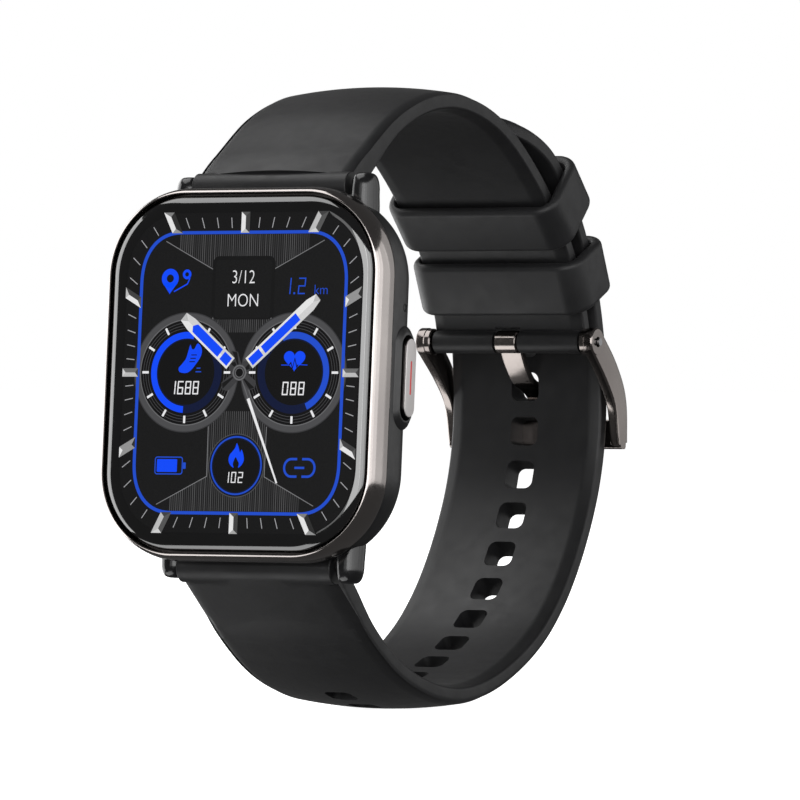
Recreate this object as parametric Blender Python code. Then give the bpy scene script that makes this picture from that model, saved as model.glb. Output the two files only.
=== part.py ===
"""A rectangular smartwatch on a buckled silicone strap.

The watch frame has +X to three o'clock, -Y out of the dial and +Z to twelve o'clock, with Y = 0 on
the flat of the back cover. The whole watch hangs from an empty that leans it back a few degrees, the
way it stands on its strap, with the world origin at the middle of the sensor window.
"""

import math

import bmesh
import bpy
import numpy as np
from mathutils import Matrix, Vector

GAP = 0.0003

# Stance
LEAN_BACK = math.radians(4.8)

# Case: half width, half height and corner radius of each outline
FRAME_OUTLINE = (0.0198, 0.02335, 0.0112)
FRAME_FRONT, FRAME_REAR = -0.01045, -0.0066
LEDGE_Y = -0.0088
RIM_WIDTH = 0.00095
BODY_OUTLINE = (0.0195, 0.02305, 0.0110)
BODY_FRONT, BODY_ROUND_FROM, BODY_BACK = FRAME_REAR + GAP, -0.0034, -0.0001
BODY_ROUND_INSET = 0.0022
CAVITY_OUTLINE = (0.0179, 0.0203, 0.0085)
GLASS_FRONT, GLASS_REAR = -0.01095, -0.00975
GLASS_OUTLINE = (0.01855, 0.0221, 0.0099)
GLASS_CURVE, GLASS_DROP = 0.0022, 0.0005
PANEL_OUTLINE = (0.0175, 0.0208, 0.0087)
COVER_OUTLINE = (0.0153, 0.0188, 0.0050)
COVER_FRONT = -0.0013
LEDGE_OUTLINE = (0.0140, 0.0175, 0.0085)
WINDOW_RADIUS, WINDOW_FLAT_RADIUS, WINDOW_TOP = 0.0095, 0.0072, 0.0008
SCREW_X, SCREW_Z = 0.0123, 0.0158

# Lugs and spring bars
STRAP_HALF_WIDTH = 0.0110
LUG_INNER, LUG_OUTER = 0.01132, 0.01462
LUG_RADIUS = 0.0017
BAR_Y, BAR_Z = -0.0030, 0.0238
BARREL_RADIUS = 0.0019
BAR_RADIUS, BAR_BORE = 0.00075, 0.00105
TIP_RADIUS = 0.00045

# Button
BUTTON_Y = -0.0030
BUTTON_LENGTH, BUTTON_WIDTH = 0.0099, 0.00265
BUTTON_FACE, BUTTON_REAR = 0.02065, 0.01985
BUTTON_TRAVEL = 0.0005
STEM_RADIUS = 0.0005
SEAL_BORE = 0.00118
STEM_END = 0.0162

# Strap section, measured out from the line of its inner edges
CHAMFER_WIDTH, CHAMFER_DEPTH = 0.0017, 0.0005
SIDE_HEIGHT, CROWN_HEIGHT = 0.0019, 0.0009
LUG_THICKENING = 0.0012
HOLE_SIZE = (0.0040, 0.0038)
HOLE_PITCH = 0.0060
HOLES_BELOW, HOLES_ABOVE = 12, 3

# Buckle
PIN_Y, PIN_Z = 0.0612, 0.0099
TUBE_RADIUS, PIN_RADIUS, PIN_BORE = 0.0015, 0.0005, 0.0008
KNUCKLE_INNER, ARM_INNER, ARM_OUTER = 0.01135, 0.0126, 0.0139
TONGUE_HALF_WIDTH, TONGUE_THICKNESS = 0.00165, 0.0010
KEEPER_LENGTH, KEEPER_WALL, KEEPER_CORNER = 0.0073, 0.0019, 0.0026
KEEPER_CLEARANCE = 0.00035
KEEPERS = (("keeper_free", (0.0524, 0.0250), 0.00735), ("keeper_fixed", (0.0588, 0.0170), 0.0070))

UP = Vector((0, 0, 1))


def clear_scene():
    for obj in list(bpy.data.objects):
        bpy.data.objects.remove(obj, do_unlink=True)


def material(name, color, roughness, metallic=0.0):
    mat = bpy.data.materials.new(name)
    mat.use_nodes = True
    shader = mat.node_tree.nodes["Principled BSDF"]
    shader.inputs["Base Color"].default_value = (*color, 1)
    shader.inputs["Roughness"].default_value = roughness
    shader.inputs["Metallic"].default_value = metallic
    mat.diffuse_color = (*color, 1)
    return mat


def add_object(name, bm, mat, origin=(0, 0, 0), smooth_angle=math.radians(30)):
    """The mesh becomes a named object whose origin sits at the given place in the watch frame."""
    bmesh.ops.recalc_face_normals(bm, faces=bm.faces)
    bmesh.ops.translate(bm, verts=bm.verts, vec=-Vector(origin))
    mesh = bpy.data.meshes.new(name)
    bm.to_mesh(mesh)
    bm.free()
    mesh.shade_smooth()
    mesh.set_sharp_from_angle(angle=smooth_angle)
    mesh.materials.append(mat)
    obj = bpy.data.objects.new(name, mesh)
    obj.location = origin
    obj.parent = bpy.data.objects["watch"]
    bpy.context.scene.collection.objects.link(obj)
    return obj


def add_rings(bm, rings, closed=False):
    """Skins a row of rings of equal length; an open row gets a cap at each end."""
    loops = [[bm.verts.new(point) for point in ring] for ring in rings]
    count = len(loops[0])
    pairs = list(zip(loops, loops[1:]))
    if closed:
        pairs.append((loops[-1], loops[0]))
    for first, second in pairs:
        for i in range(count):
            j = (i + 1) % count
            bm.faces.new((first[i], first[j], second[j], second[i]))
    if not closed:
        bm.faces.new(loops[0])
        bm.faces.new(loops[-1])


def loft(name, rings, mat, closed=False, origin=(0, 0, 0)):
    bm = bmesh.new()
    add_rings(bm, rings, closed)
    return add_object(name, bm, mat, origin)


def rounded_outline(half_x, half_z, radius, y, steps=8, center=(0, 0)):
    """A rounded rectangle in the plane at y."""
    ring = []
    for quarter, (sx, sz) in enumerate(((1, 1), (-1, 1), (-1, -1), (1, -1))):
        for step in range(steps + 1):
            angle = (quarter + step / steps) * math.pi / 2
            x = sx * (half_x - radius) + radius * math.cos(angle)
            z = sz * (half_z - radius) + radius * math.sin(angle)
            ring.append(Vector((center[0] + x, y, center[1] + z)))
    return ring


def inset_outline(outline, inset, y, steps=8):
    half_x, half_z, radius = outline
    return rounded_outline(half_x - inset, half_z - inset, radius - inset, y, steps)


def circle(center, radius, axis, steps=20):
    """A ring of points about an axis, which is a unit vector along X or Y."""
    center = Vector(center)
    side = Vector((0, 1, 0)) if abs(axis[0]) > 0.5 else Vector((1, 0, 0))
    points = []
    for step in range(steps):
        angle = 2 * math.pi * step / steps
        points.append(center + radius * (math.cos(angle) * side + math.sin(angle) * UP))
    return points


def turned_rings(center, axis, profile, steps=20):
    """Rings for a turned shape: profile is (distance along the axis, radius) from end to end."""
    center, axis = Vector(center), Vector(axis)
    return [circle(center + axis * along, radius, axis, steps) for along, radius in profile]


def box_rings(low, high, bevel=0.0002):
    """A box with bevelled long edges, as rings along Y."""
    half_x, half_z = (high[0] - low[0]) / 2, (high[2] - low[2]) / 2
    middle = ((high[0] + low[0]) / 2, (high[2] + low[2]) / 2)
    return [
        rounded_outline(half_x, half_z, bevel, low[1], 2, middle),
        rounded_outline(half_x, half_z, bevel, high[1], 2, middle),
    ]


def cut(target, rings_list, name, operation="DIFFERENCE"):
    """Takes closed lofts away from the target, or joins them to it, with one Boolean."""
    bm = bmesh.new()
    for rings in rings_list:
        add_rings(bm, rings)
    tool = add_object(name, bm, target.data.materials[0])
    tool.hide_render = True
    tool.display_type = "WIRE"
    boolean = target.modifiers.new(name, "BOOLEAN")
    boolean.operation = operation
    boolean.object = tool
    boolean.solver = "EXACT"


def stadium(x, length, width, center_y, center_z=0.0, steps=8):
    """A ring with half-round ends, long in Z, in the plane at x."""
    half = (length - width) / 2
    ring = []
    for sign in (1, -1):
        for step in range(steps + 1):
            angle = math.pi * step / steps + (0 if sign > 0 else math.pi)
            y = center_y + width / 2 * math.cos(angle)
            z = center_z + sign * half + width / 2 * math.sin(angle)
            ring.append(Vector((x, y, z)))
    return ring


# ---------------------------------------------------------------- smooth routes in the YZ plane


class Route:
    """A smooth line in the YZ plane through a few points, read by its length from the start."""

    def __init__(self, points, samples=40):
        knots = [Vector((0, y, z)) for y, z in points]
        knots = [2 * knots[0] - knots[1]] + knots + [2 * knots[-1] - knots[-2]]
        line = []
        for a, b, c, d in zip(knots, knots[1:], knots[2:], knots[3:]):
            for step in range(samples):
                line.append(self.between(a, b, c, d, step / samples))
        line.append(knots[-2])
        self.line = line
        self.at = np.concatenate([[0], np.cumsum([(q - p).length for p, q in zip(line, line[1:])])])
        self.length = float(self.at[-1])

    @staticmethod
    def between(a, b, c, d, t):
        """The cubic between b and c."""
        return 0.5 * (
            2 * b + (c - a) * t + (2 * a - 5 * b + 4 * c - d) * t * t + (3 * b - a - 3 * c + d) * t**3
        )

    def point(self, s):
        y = np.interp(s, self.at, [p.y for p in self.line])
        z = np.interp(s, self.at, [p.z for p in self.line])
        return Vector((0, float(y), float(z)))

    def tangent(self, s):
        step = 0.0006
        return (self.point(min(s + step, self.length)) - self.point(max(s - step, 0))).normalized()

    def outward(self, s, turn):
        """The unit normal away from the wrist; turn is +1 on the upper strap and -1 on the lower."""
        along = self.tangent(s)
        return Vector((0, -along.z, along.y)) * turn

    def nearest(self, y, z):
        spots = [(p - Vector((0, y, z))).length for p in self.line]
        return float(self.at[int(np.argmin(spots))])


UPPER_ROUTE = Route(
    [
        (-0.0013, 0.0230), (0.0022, 0.0261), (0.0092, 0.0318), (0.0180, 0.0356), (0.0270, 0.0363),
        (0.0368, 0.0343), (0.0470, 0.0293), (0.0557, 0.0217), (0.0600, 0.0145), (0.0614, 0.0112),
    ]
)
LOWER_ROUTE = Route(
    [
        (-0.0013, -0.0230), (0.0025, -0.0257), (0.0079, -0.0302), (0.0150, -0.0343),
        (0.0230, -0.0368), (0.0310, -0.0371), (0.0385, -0.0354), (0.0459, -0.0323),
        (0.0520, -0.0284), (0.0567, -0.0240), (0.0604, -0.0191), (0.0634, -0.0136),
        (0.0654, -0.0082), (0.0665, -0.0025), (0.0667, 0.0035), (0.0658, 0.0095),
        (0.0638, 0.0155), (0.0607, 0.0213), (0.0567, 0.0268), (0.0518, 0.0316),
        (0.0462, 0.0352), (0.0410, 0.0374),
    ]
)


def strap_section(route, s, turn, half_width, side, crown):
    """One cross-section: flat inner face, chamfered inner edges, upright sides, crowned outer face."""
    base, out = route.point(s), route.outward(s, turn)
    outline = [(half_width - CHAMFER_WIDTH, -CHAMFER_DEPTH), (half_width, 0.0)]
    outline.append((half_width, side - 0.0003))
    crown_steps = 6
    for step in range(crown_steps + 1):
        share = 1 - 2 * step / crown_steps
        outline.append(((half_width - 0.0002) * share, side + crown * (1 - share * share)))
    outline.append((-half_width, side - 0.0003))
    outline += [(-half_width, 0.0), (-(half_width - CHAMFER_WIDTH), -CHAMFER_DEPTH)]
    return [base + Vector((x, 0, 0)) + out * u for x, u in outline]


def strap_rings(route, turn, end_taper, stations=36):
    """Sections from the spring bar to the free end, thick beside the case."""
    rings = []
    for step in range(stations + 1):
        s = route.length * step / stations
        thick = LUG_THICKENING * math.exp(-((s / 0.009) ** 2))
        half_width, side, crown = end_taper(s)
        rings.append(strap_section(route, s, turn, half_width, side + thick, crown))
    return rings


def hole_rings(route, s, turn):
    """A through cutter for one buckle hole, with rounded corners."""
    base, out, along = route.point(s), route.outward(s, turn), route.tangent(s)
    half_x, half_s, radius = HOLE_SIZE[0] / 2, HOLE_SIZE[1] / 2, 0.0010
    rings = []
    for depth in (-0.0020, 0.0048):
        ring = []
        for corner, (sx, ss) in enumerate(((1, 1), (-1, 1), (-1, -1), (1, -1))):
            for step in range(4):
                angle = (corner + step / 3) * math.pi / 2
                x = sx * (half_x - radius) + radius * math.cos(angle)
                t = ss * (half_s - radius) + radius * math.sin(angle)
                ring.append(base + out * depth + Vector((x, 0, 0)) + along * t)
        rings.append(ring)
    return rings


# ---------------------------------------------------------------- case


def build_case():
    metal = material("gunmetal", (0.23, 0.20, 0.19), 0.22, 1.0)
    plastic = material("satin_black_plastic", (0.02, 0.02, 0.022), 0.38)
    glass = material("black_glass", (0.005, 0.005, 0.006), 0.05)
    screen = material("display_black", (0.01, 0.02, 0.06), 0.3)
    foam = material("black_adhesive", (0.03, 0.03, 0.03), 0.8)

    inner_step = FRAME_OUTLINE[0] - CAVITY_OUTLINE[0]
    profile = [(RIM_WIDTH, FRAME_FRONT + 0.0002), (RIM_WIDTH - 0.00025, FRAME_FRONT)]
    for step in range(7):
        angle = math.pi / 2 * step / 6
        profile.append((0.0006 * (1 - math.sin(angle)), FRAME_FRONT + 0.0010 * (1 - math.cos(angle))))
    profile += [(0.0, FRAME_REAR - 0.0006), (0.00025, FRAME_REAR)]
    profile += [(inner_step, FRAME_REAR), (inner_step, LEDGE_Y), (RIM_WIDTH, LEDGE_Y)]
    loft("bezel_frame", [inset_outline(FRAME_OUTLINE, i, y, 10) for i, y in profile], metal, closed=True)

    rings = [inset_outline(GLASS_OUTLINE, 0.0003, GLASS_REAR, 10)]
    rings.append(inset_outline(GLASS_OUTLINE, 0.0, GLASS_REAR + 0.0001 - 0.0004, 10))
    curve_steps = 6
    for step in range(curve_steps + 1):
        share = step / curve_steps
        drop = GLASS_DROP * (1 - math.sqrt(1 - (1 - share) ** 2))
        rings.append(inset_outline(GLASS_OUTLINE, GLASS_CURVE * share + 0.00004, GLASS_FRONT + drop, 10))
    loft("cover_glass", rings, glass)

    ring_width = 0.0006
    gasket = [(0.0, -0.00945), (0.0, -0.0091), (ring_width, -0.0091), (ring_width, -0.00945)]
    loft("glass_adhesive", [inset_outline(GLASS_OUTLINE, i, y, 10) for i, y in gasket], foam, closed=True)
    panel = [inset_outline(PANEL_OUTLINE, 0, y, 10) for y in (-0.00945, -0.0083)]
    loft("display_panel", panel, screen)

    body = [(0.0, BODY_FRONT)]
    round_steps = 7
    for step in range(round_steps + 1):
        angle = math.pi / 2 * step / round_steps
        inset = BODY_ROUND_INSET * (1 - math.cos(angle))
        body.append((inset, BODY_ROUND_FROM + (BODY_BACK - BODY_ROUND_FROM) * math.sin(angle)))
    rings = [inset_outline(BODY_OUTLINE, inset, y) for inset, y in body]
    recess = [value + GAP for value in COVER_OUTLINE]
    recess_floor = COVER_FRONT - GAP
    ledge_front = recess_floor - 0.0010
    rings.append(inset_outline(recess, 0, BODY_BACK))
    rings.append(inset_outline(recess, 0, recess_floor))
    rings.append(inset_outline(LEDGE_OUTLINE, 0, recess_floor))
    rings.append(inset_outline(LEDGE_OUTLINE, 0, ledge_front))
    rings.append(inset_outline(CAVITY_OUTLINE, 0, ledge_front))
    rings.append(inset_outline(CAVITY_OUTLINE, 0, BODY_FRONT))
    case_body = loft("case_body", rings, plastic, closed=True)

    additions = []
    for side in (1, -1):
        for end in (1, -1):
            additions.append(lug_rings(side, end))
    guard = [(0.0183, 0.0160, 0.0052), (0.01945, 0.0145, 0.0047), (0.01985, 0.0132, 0.0043)]
    guard.append((0.02000, 0.0122, 0.0040))
    additions.append([stadium(x, length, width, BUTTON_Y) for x, length, width in guard])
    cut(case_body, additions, "body_additions", "UNION")

    removals = []
    for end in (1, -1):
        scoop = turned_rings(
            (0, BAR_Y, end * BAR_Z), (1, 0, 0),
            [(-LUG_INNER, BARREL_RADIUS + GAP), (LUG_INNER, BARREL_RADIUS + GAP)], 24,
        )
        removals.append(scoop)
        depth = LUG_OUTER - 0.0008
        for side in (1, -1):
            removals.append(
                turned_rings(
                    (0, BAR_Y, end * BAR_Z), (side, 0, 0),
                    [(LUG_INNER - 0.0002, TIP_RADIUS + GAP), (depth, TIP_RADIUS + GAP)], 12,
                )
            )
    pocket_length, pocket_width = BUTTON_LENGTH + 2 * GAP, BUTTON_WIDTH + 2 * GAP
    pocket_floor = BUTTON_REAR - BUTTON_TRAVEL - GAP
    button_bore = [(0.0170, SEAL_BORE), (0.0187, SEAL_BORE), (0.0187 + 1e-5, STEM_RADIUS + GAP)]
    button_bore.append((0.0196, STEM_RADIUS + GAP))
    microphone_port = [(0.0170, 0.00045), (0.0205, 0.00045)]
    removals.append(turned_rings((0, -0.0042, 0.0080), (1, 0, 0), microphone_port, 12))
    for x in (SCREW_X, -SCREW_X):
        for z in (SCREW_Z, -SCREW_Z):
            screw_hole = [(-0.0030, 0.0008), (-0.0010, 0.0008)]
            removals.append(turned_rings((x, 0, z), (0, 1, 0), screw_hole, 12))
    cut(case_body, removals, "body_cuts")
    pocket = [stadium(x, pocket_length, pocket_width, BUTTON_Y) for x in (pocket_floor, 0.021)]
    cut(case_body, [pocket], "pocket")
    cut(case_body, [turned_rings((0, BUTTON_Y, 0), (1, 0, 0), button_bore, 20)], "button_bore")
    cut(case_body, [box_rings((0.0130, -0.0062, -0.0036), (0.0180, -0.0020, 0.0036))], "switch_bay")

    back_cover = loft(
        "back_cover",
        [inset_outline(COVER_OUTLINE, i, y) for i, y in ((0, COVER_FRONT), (0, -0.0002), (0.0002, 0.0))],
        plastic,
    )
    window_radius = WINDOW_RADIUS + GAP
    openings = [turned_rings((0, 0, 0), (0, 1, 0), [(-0.002, window_radius), (0.001, window_radius)], 40)]
    for x in (SCREW_X, -SCREW_X):
        for z in (SCREW_Z, -SCREW_Z):
            openings.append(
                turned_rings(
                    (x, 0, z), (0, 1, 0),
                    [(-0.002, 0.0008), (-0.0008, 0.0008), (-0.0008 + 1e-5, 0.0013), (0.001, 0.0013)], 16,
                )
            )
    for x in (0.0018, -0.0018):
        openings.append(turned_rings((x, 0, -0.0145), (0, 1, 0), [(-0.002, 0.0013), (0.001, 0.0013)], 16))
    cut(back_cover, openings, "cover_openings")


def lug_rings(side, end):
    """One finger-like lug: a rounded bar that runs along Z, with a ball-like tip past the spring bar."""
    middle_x = side * (LUG_INNER + LUG_OUTER) / 2
    half_x, half_y = (LUG_OUTER - LUG_INNER) / 2, 0.00185
    root = 0.0206
    rings = []
    spots = [(root, 0.9), (BAR_Z - 0.0005, 1.0)]
    tip_steps = 6
    for step in range(1, tip_steps + 1):
        angle = math.pi / 2 * step / tip_steps
        spots.append((BAR_Z - 0.0005 + LUG_RADIUS * 1.3 * math.sin(angle), max(math.cos(angle), 0.3) ** 0.6))
    for z, scale in spots:
        ring = []
        for step in range(16):
            angle = 2 * math.pi * step / 16
            c, s = math.cos(angle), math.sin(angle)
            x = half_x * math.copysign(abs(c) ** 0.7, c) * (0.4 + 0.6 * scale)
            y = half_y * math.copysign(abs(s) ** 0.7, s) * scale
            ring.append(Vector((middle_x + x, BAR_Y - 0.0001 + y, end * z)))
        rings.append(ring)
    return rings


def build_back_parts():
    clear = material("sensor_window", (0.02, 0.02, 0.025), 0.08)
    gold = material("gold_plate", (0.72, 0.52, 0.25), 0.3, 1.0)
    steel = material("screw_steel", (0.45, 0.45, 0.46), 0.3, 1.0)
    board = material("green_board", (0.02, 0.16, 0.08), 0.5)

    flange_rear = COVER_FRONT - GAP
    profile = [(flange_rear - 0.0006, 0.0106), (flange_rear, 0.0106), (flange_rear + 1e-5, WINDOW_RADIUS)]
    profile.append((-0.0001, WINDOW_RADIUS))
    dome_steps = 6
    for step in range(1, dome_steps + 1):
        share = step / dome_steps
        radius = WINDOW_RADIUS - (WINDOW_RADIUS - WINDOW_FLAT_RADIUS) * share
        profile.append((-0.0001 + (WINDOW_TOP + 0.0001) * math.sin(share * math.pi / 2), radius))
    loft("sensor_window", turned_rings((0, 0, 0), (0, 1, 0), profile, 40), clear)

    disc = turned_rings((0, 0, 0), (0, 1, 0), [(-0.0038, 0.009), (-0.0032, 0.009)], 32)
    sensor = loft("sensor_board", disc, board)
    chips = []
    for i in range(4):
        angle = math.pi / 4 + i * math.pi / 2
        x, z = 0.0055 * math.cos(angle), 0.0055 * math.sin(angle)
        chips.append(box_rings((x - 0.0013, -0.0034, z - 0.0013), (x + 0.0013, -0.0026, z + 0.0013)))
    chips.append(box_rings((-0.0012, -0.0034, -0.0012), (0.0012, -0.0026, 0.0012)))
    cut(sensor, chips, "sensor_chips", "UNION")

    for label, x in (("left", -0.0018), ("right", 0.0018)):
        profile = [(-0.0030, 0.0006), (-0.0018, 0.0006), (-0.0018 + 1e-5, 0.0010)]
        profile += [(-0.0001, 0.0010), (0.0001, 0.0008)]
        rings = turned_rings((x, 0, -0.0145), (0, 1, 0), profile, 16)
        loft(f"charge_contact_{label}", rings, gold, origin=(x, 0, -0.0145))
    for vertical, z in (("upper", SCREW_Z), ("lower", -SCREW_Z)):
        for horizontal, x in (("left", -SCREW_X), ("right", SCREW_X)):
            profile = [(-0.0025, 0.0005), (-0.0005, 0.0005), (-0.0005 + 1e-5, 0.0010), (-0.0001, 0.0009)]
            screw = loft(
                f"case_screw_{vertical}_{horizontal}",
                turned_rings((x, 0, z), (0, 1, 0), profile, 14), steel, origin=(x, 0, z),
            )
            slot_low, slot_high = (x - 0.0006, -0.0003, z - 0.00012), (x + 0.0006, 0.0002, z + 0.00012)
            slot = box_rings(slot_low, slot_high, 0.00002)
            cut(screw, [slot], f"slot_{vertical}_{horizontal}")


def build_electronics():
    board = material("black_board", (0.01, 0.05, 0.04), 0.5)
    can = material("tin_can", (0.62, 0.62, 0.60), 0.3, 1.0)
    foil = material("battery_foil", (0.5, 0.5, 0.52), 0.4, 0.7)
    orange = material("flex_polyimide", (0.55, 0.24, 0.04), 0.4)
    black = material("part_black", (0.03, 0.03, 0.03), 0.5)
    tungsten = material("tungsten", (0.35, 0.35, 0.36), 0.35, 1.0)

    sheet = [rounded_outline(0.0150, 0.0118, 0.004, y, 4, (0, 0.0074)) for y in (-0.0077, -0.0070)]
    main = loft("main_board", sheet, board)
    chips = [box_rings((-0.0135, -0.0072, -0.0030), (-0.0100, -0.0062, 0.0010))]
    chips.append(box_rings((0.0090, -0.0072, -0.0035), (0.0125, -0.0064, -0.0005)))
    chips.append(box_rings((0.0010, -0.0072, 0.0150), (0.0040, -0.0065, 0.0172)))
    cut(main, chips, "board_chips", "UNION")
    loft("shield_can", box_rings((-0.0062, -0.0067, 0.0008), (0.0062, -0.0052, 0.0128), 0.0008), can)
    loft("battery", box_rings((-0.0128, -0.0077, -0.0186), (0.0128, -0.0042, -0.0062), 0.0015), foil)

    ribbon = []
    ribbon_section = ((-0.004, -0.00005), (0.004, -0.00005), (0.004, 0.0001), (-0.004, 0.0001))
    for y, z in ((-0.00795, -0.0045), (-0.00800, -0.0010)):
        ribbon.append([Vector((x, y + dy, z)) for x, dy in ribbon_section])
    loft("display_flex", ribbon, orange)

    motor = (-0.0108, 0, 0.0147)
    motor_can = loft(
        "vibration_motor_can",
        turned_rings(motor, (0, 1, 0), [(-0.0066, 0.0040), (-0.0032, 0.0040)], 24), can, origin=motor,
    )
    motor_bore = turned_rings(motor, (0, 1, 0), [(-0.0062, 0.0036), (-0.0030, 0.0036)], 24)
    cut(motor_can, [motor_bore], "motor_bore")
    spindle = turned_rings(motor, (0, 1, 0), [(-0.0064, 0.0005), (-0.0036, 0.0005)], 12)
    cut(motor_can, [spindle], "motor_spindle", "UNION")
    rings = []
    for y in (-0.0058, -0.0040):
        ring = []
        for step in range(17):
            angle = math.pi * step / 16
            x = motor[0] + 0.0032 * math.cos(angle)
            z = motor[2] - 0.0011 + 0.0032 * math.sin(angle) * 1.25
            ring.append(Vector((x, y, z)))
        rings.append(ring)
    weight = loft("vibration_weight", rings, tungsten, origin=motor)
    cut(weight, [turned_rings(motor, (0, 1, 0), [(-0.0062, 0.0008), (-0.0036, 0.0008)], 16)], "weight_bore")

    speaker = loft("speaker", box_rings((0.0068, -0.0066, 0.0136), (0.0148, -0.0034, 0.0180), 0.0009), black)
    port = turned_rings((0.0108, 0, 0.0158), (0, 1, 0), [(-0.0040, 0.0014), (-0.0030, 0.0014)], 20)
    cut(speaker, [port], "speaker_port")
    loft("microphone", box_rings((0.0150, -0.0052, 0.0064), (0.0172, -0.0032, 0.0096), 0.0003), can)


def build_button():
    face = material("champagne_metal", (0.70, 0.67, 0.66), 0.35, 0.9)
    rubber = material("seal_rubber", (0.02, 0.02, 0.02), 0.8)
    steel = material("clip_steel", (0.5, 0.5, 0.5), 0.3, 1.0)
    black = material("switch_black", (0.03, 0.03, 0.03), 0.5)
    orange = material("side_flex_polyimide", (0.55, 0.24, 0.04), 0.4)

    rest = (BUTTON_REAR, BUTTON_Y, 0)
    slices = [(BUTTON_REAR, 0.0), (BUTTON_FACE - 0.00025, 0.0)]
    slices += [(BUTTON_FACE - 0.00008, 0.00008), (BUTTON_FACE, 0.00025)]
    rings = [stadium(x, BUTTON_LENGTH - 2 * i, BUTTON_WIDTH - 2 * i, BUTTON_Y) for x, i in slices]
    cap = loft("button_cap", rings, face, origin=rest)
    groove_radius = 0.0003
    stem = [(STEM_END, STEM_RADIUS), (0.0168, STEM_RADIUS), (0.0168 + 1e-5, groove_radius)]
    stem += [(0.0174, groove_radius), (0.0174 + 1e-5, STEM_RADIUS), (BUTTON_REAR + 0.0003, STEM_RADIUS)]
    cut(cap, [turned_rings((0, BUTTON_Y, 0), (1, 0, 0), stem, 16)], "button_stem", "UNION")

    bm = bmesh.new()
    rings = []
    for step in range(16):
        angle = 2 * math.pi * step / 16
        radial = Vector((0, math.cos(angle), math.sin(angle)))
        middle = Vector((0.01815, BUTTON_Y, 0)) + radial * 0.00084
        rings.append(small_ring(middle, radial, 0.00022, 6))
    add_rings(bm, rings, closed=True)
    add_object("button_seal", bm, rubber, rest)

    opening = math.radians(50)
    rings = []
    for step in range(13):
        angle = opening + (2 * math.pi - 2 * opening) * step / 12
        radial = Vector((0, math.cos(angle), math.sin(angle)))
        middle = Vector((0, BUTTON_Y, 0))
        rings.append([
            middle + radial * r + Vector((x, 0, 0))
            for r, x in ((0.0004, 0.0169), (0.0009, 0.0169), (0.0009, 0.0172), (0.0004, 0.0172))
        ])
    loft("button_clip", rings, steel, origin=rest)

    housing = box_rings((0.0145, -0.0039, -0.0017), (0.0153, -0.0023, 0.0017), 0.0002)
    switch = loft("button_switch", housing, black)
    dome = [(0.0151, 0.0007), (0.0154, 0.0006), (0.0156, 0.0003)]
    cut(switch, [turned_rings((0, BUTTON_Y, 0), (1, 0, 0), dome, 16)], "switch_dome", "UNION")
    loft("button_flex", box_rings((0.0139, -0.0052, -0.0030), (0.0142, -0.0023, 0.0030), 0.0001), orange)


def small_ring(middle, radial, radius, count):
    """A section of a wire whose line turns about the X axis."""
    along = Vector((1, 0, 0))
    angles = [i * 2 * math.pi / count for i in range(count)]
    return [middle + radius * (math.cos(a) * radial + math.sin(a) * along) for a in angles]


def build_spring_bars():
    steel = material("bar_steel", (0.55, 0.55, 0.55), 0.25, 1.0)
    for label, end in (("upper", 1), ("lower", -1)):
        center = (0, BAR_Y, end * BAR_Z)
        outside = 0.0105
        shell = [(-0.0128, TIP_RADIUS), (-outside, TIP_RADIUS)]
        shell += [(-outside + 1e-5, BAR_RADIUS), (outside, BAR_RADIUS)]
        tube = loft(f"spring_bar_{label}", turned_rings(center, (1, 0, 0), shell, 16), steel, origin=center)
        bore = [(0.0030, 0.00055), (outside + 0.001, 0.00055)]
        cut(tube, [turned_rings(center, (1, 0, 0), bore, 16)], f"bar_bore_{label}")
        slot_low = (0.0062, BAR_Y, center[2] - 0.00040)
        slot_high = (0.0096, BAR_Y + 0.0014, center[2] + 0.00040)
        slot = box_rings(slot_low, slot_high, 0.0001)
        cut(tube, [slot], f"bar_slot_{label}")

        pin_radius = 0.00022
        tip_origin = (0.0128, BAR_Y, end * BAR_Z)
        tip_profile = [(0.0076, pin_radius), (0.0123, pin_radius), (0.0128, pin_radius)]
        rings = turned_rings(center, (1, 0, 0), tip_profile, 12)
        tip = loft(f"spring_bar_tip_{label}", rings, steel, origin=tip_origin)
        corners = ((-0.0004, -0.00010), (0.0004, -0.00010), (0.0004, 0.00010), (-0.0004, 0.00010))
        lever = []
        for y in (BAR_Y, BAR_Y + 0.0019):
            lever.append([Vector((0.0080 + x, y, center[2] + z)) for x, z in corners])
        cut(tip, [lever], f"tip_lever_{label}", "UNION")

        coil = []
        turns, per_turn = 4, 10
        for step in range(turns * per_turn + 1):
            angle = 2 * math.pi * step / per_turn
            radial = Vector((0, math.cos(angle), math.sin(angle)))
            along = 0.0033 + 0.0030 * step / (turns * per_turn)
            middle = Vector(center) + Vector((along, 0, 0)) + radial * 0.00032
            coil.append(small_ring(middle, radial, 0.00010, 5))
        loft(f"bar_spring_{label}", coil, steel, origin=center)


# ---------------------------------------------------------------- strap and buckle


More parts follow.
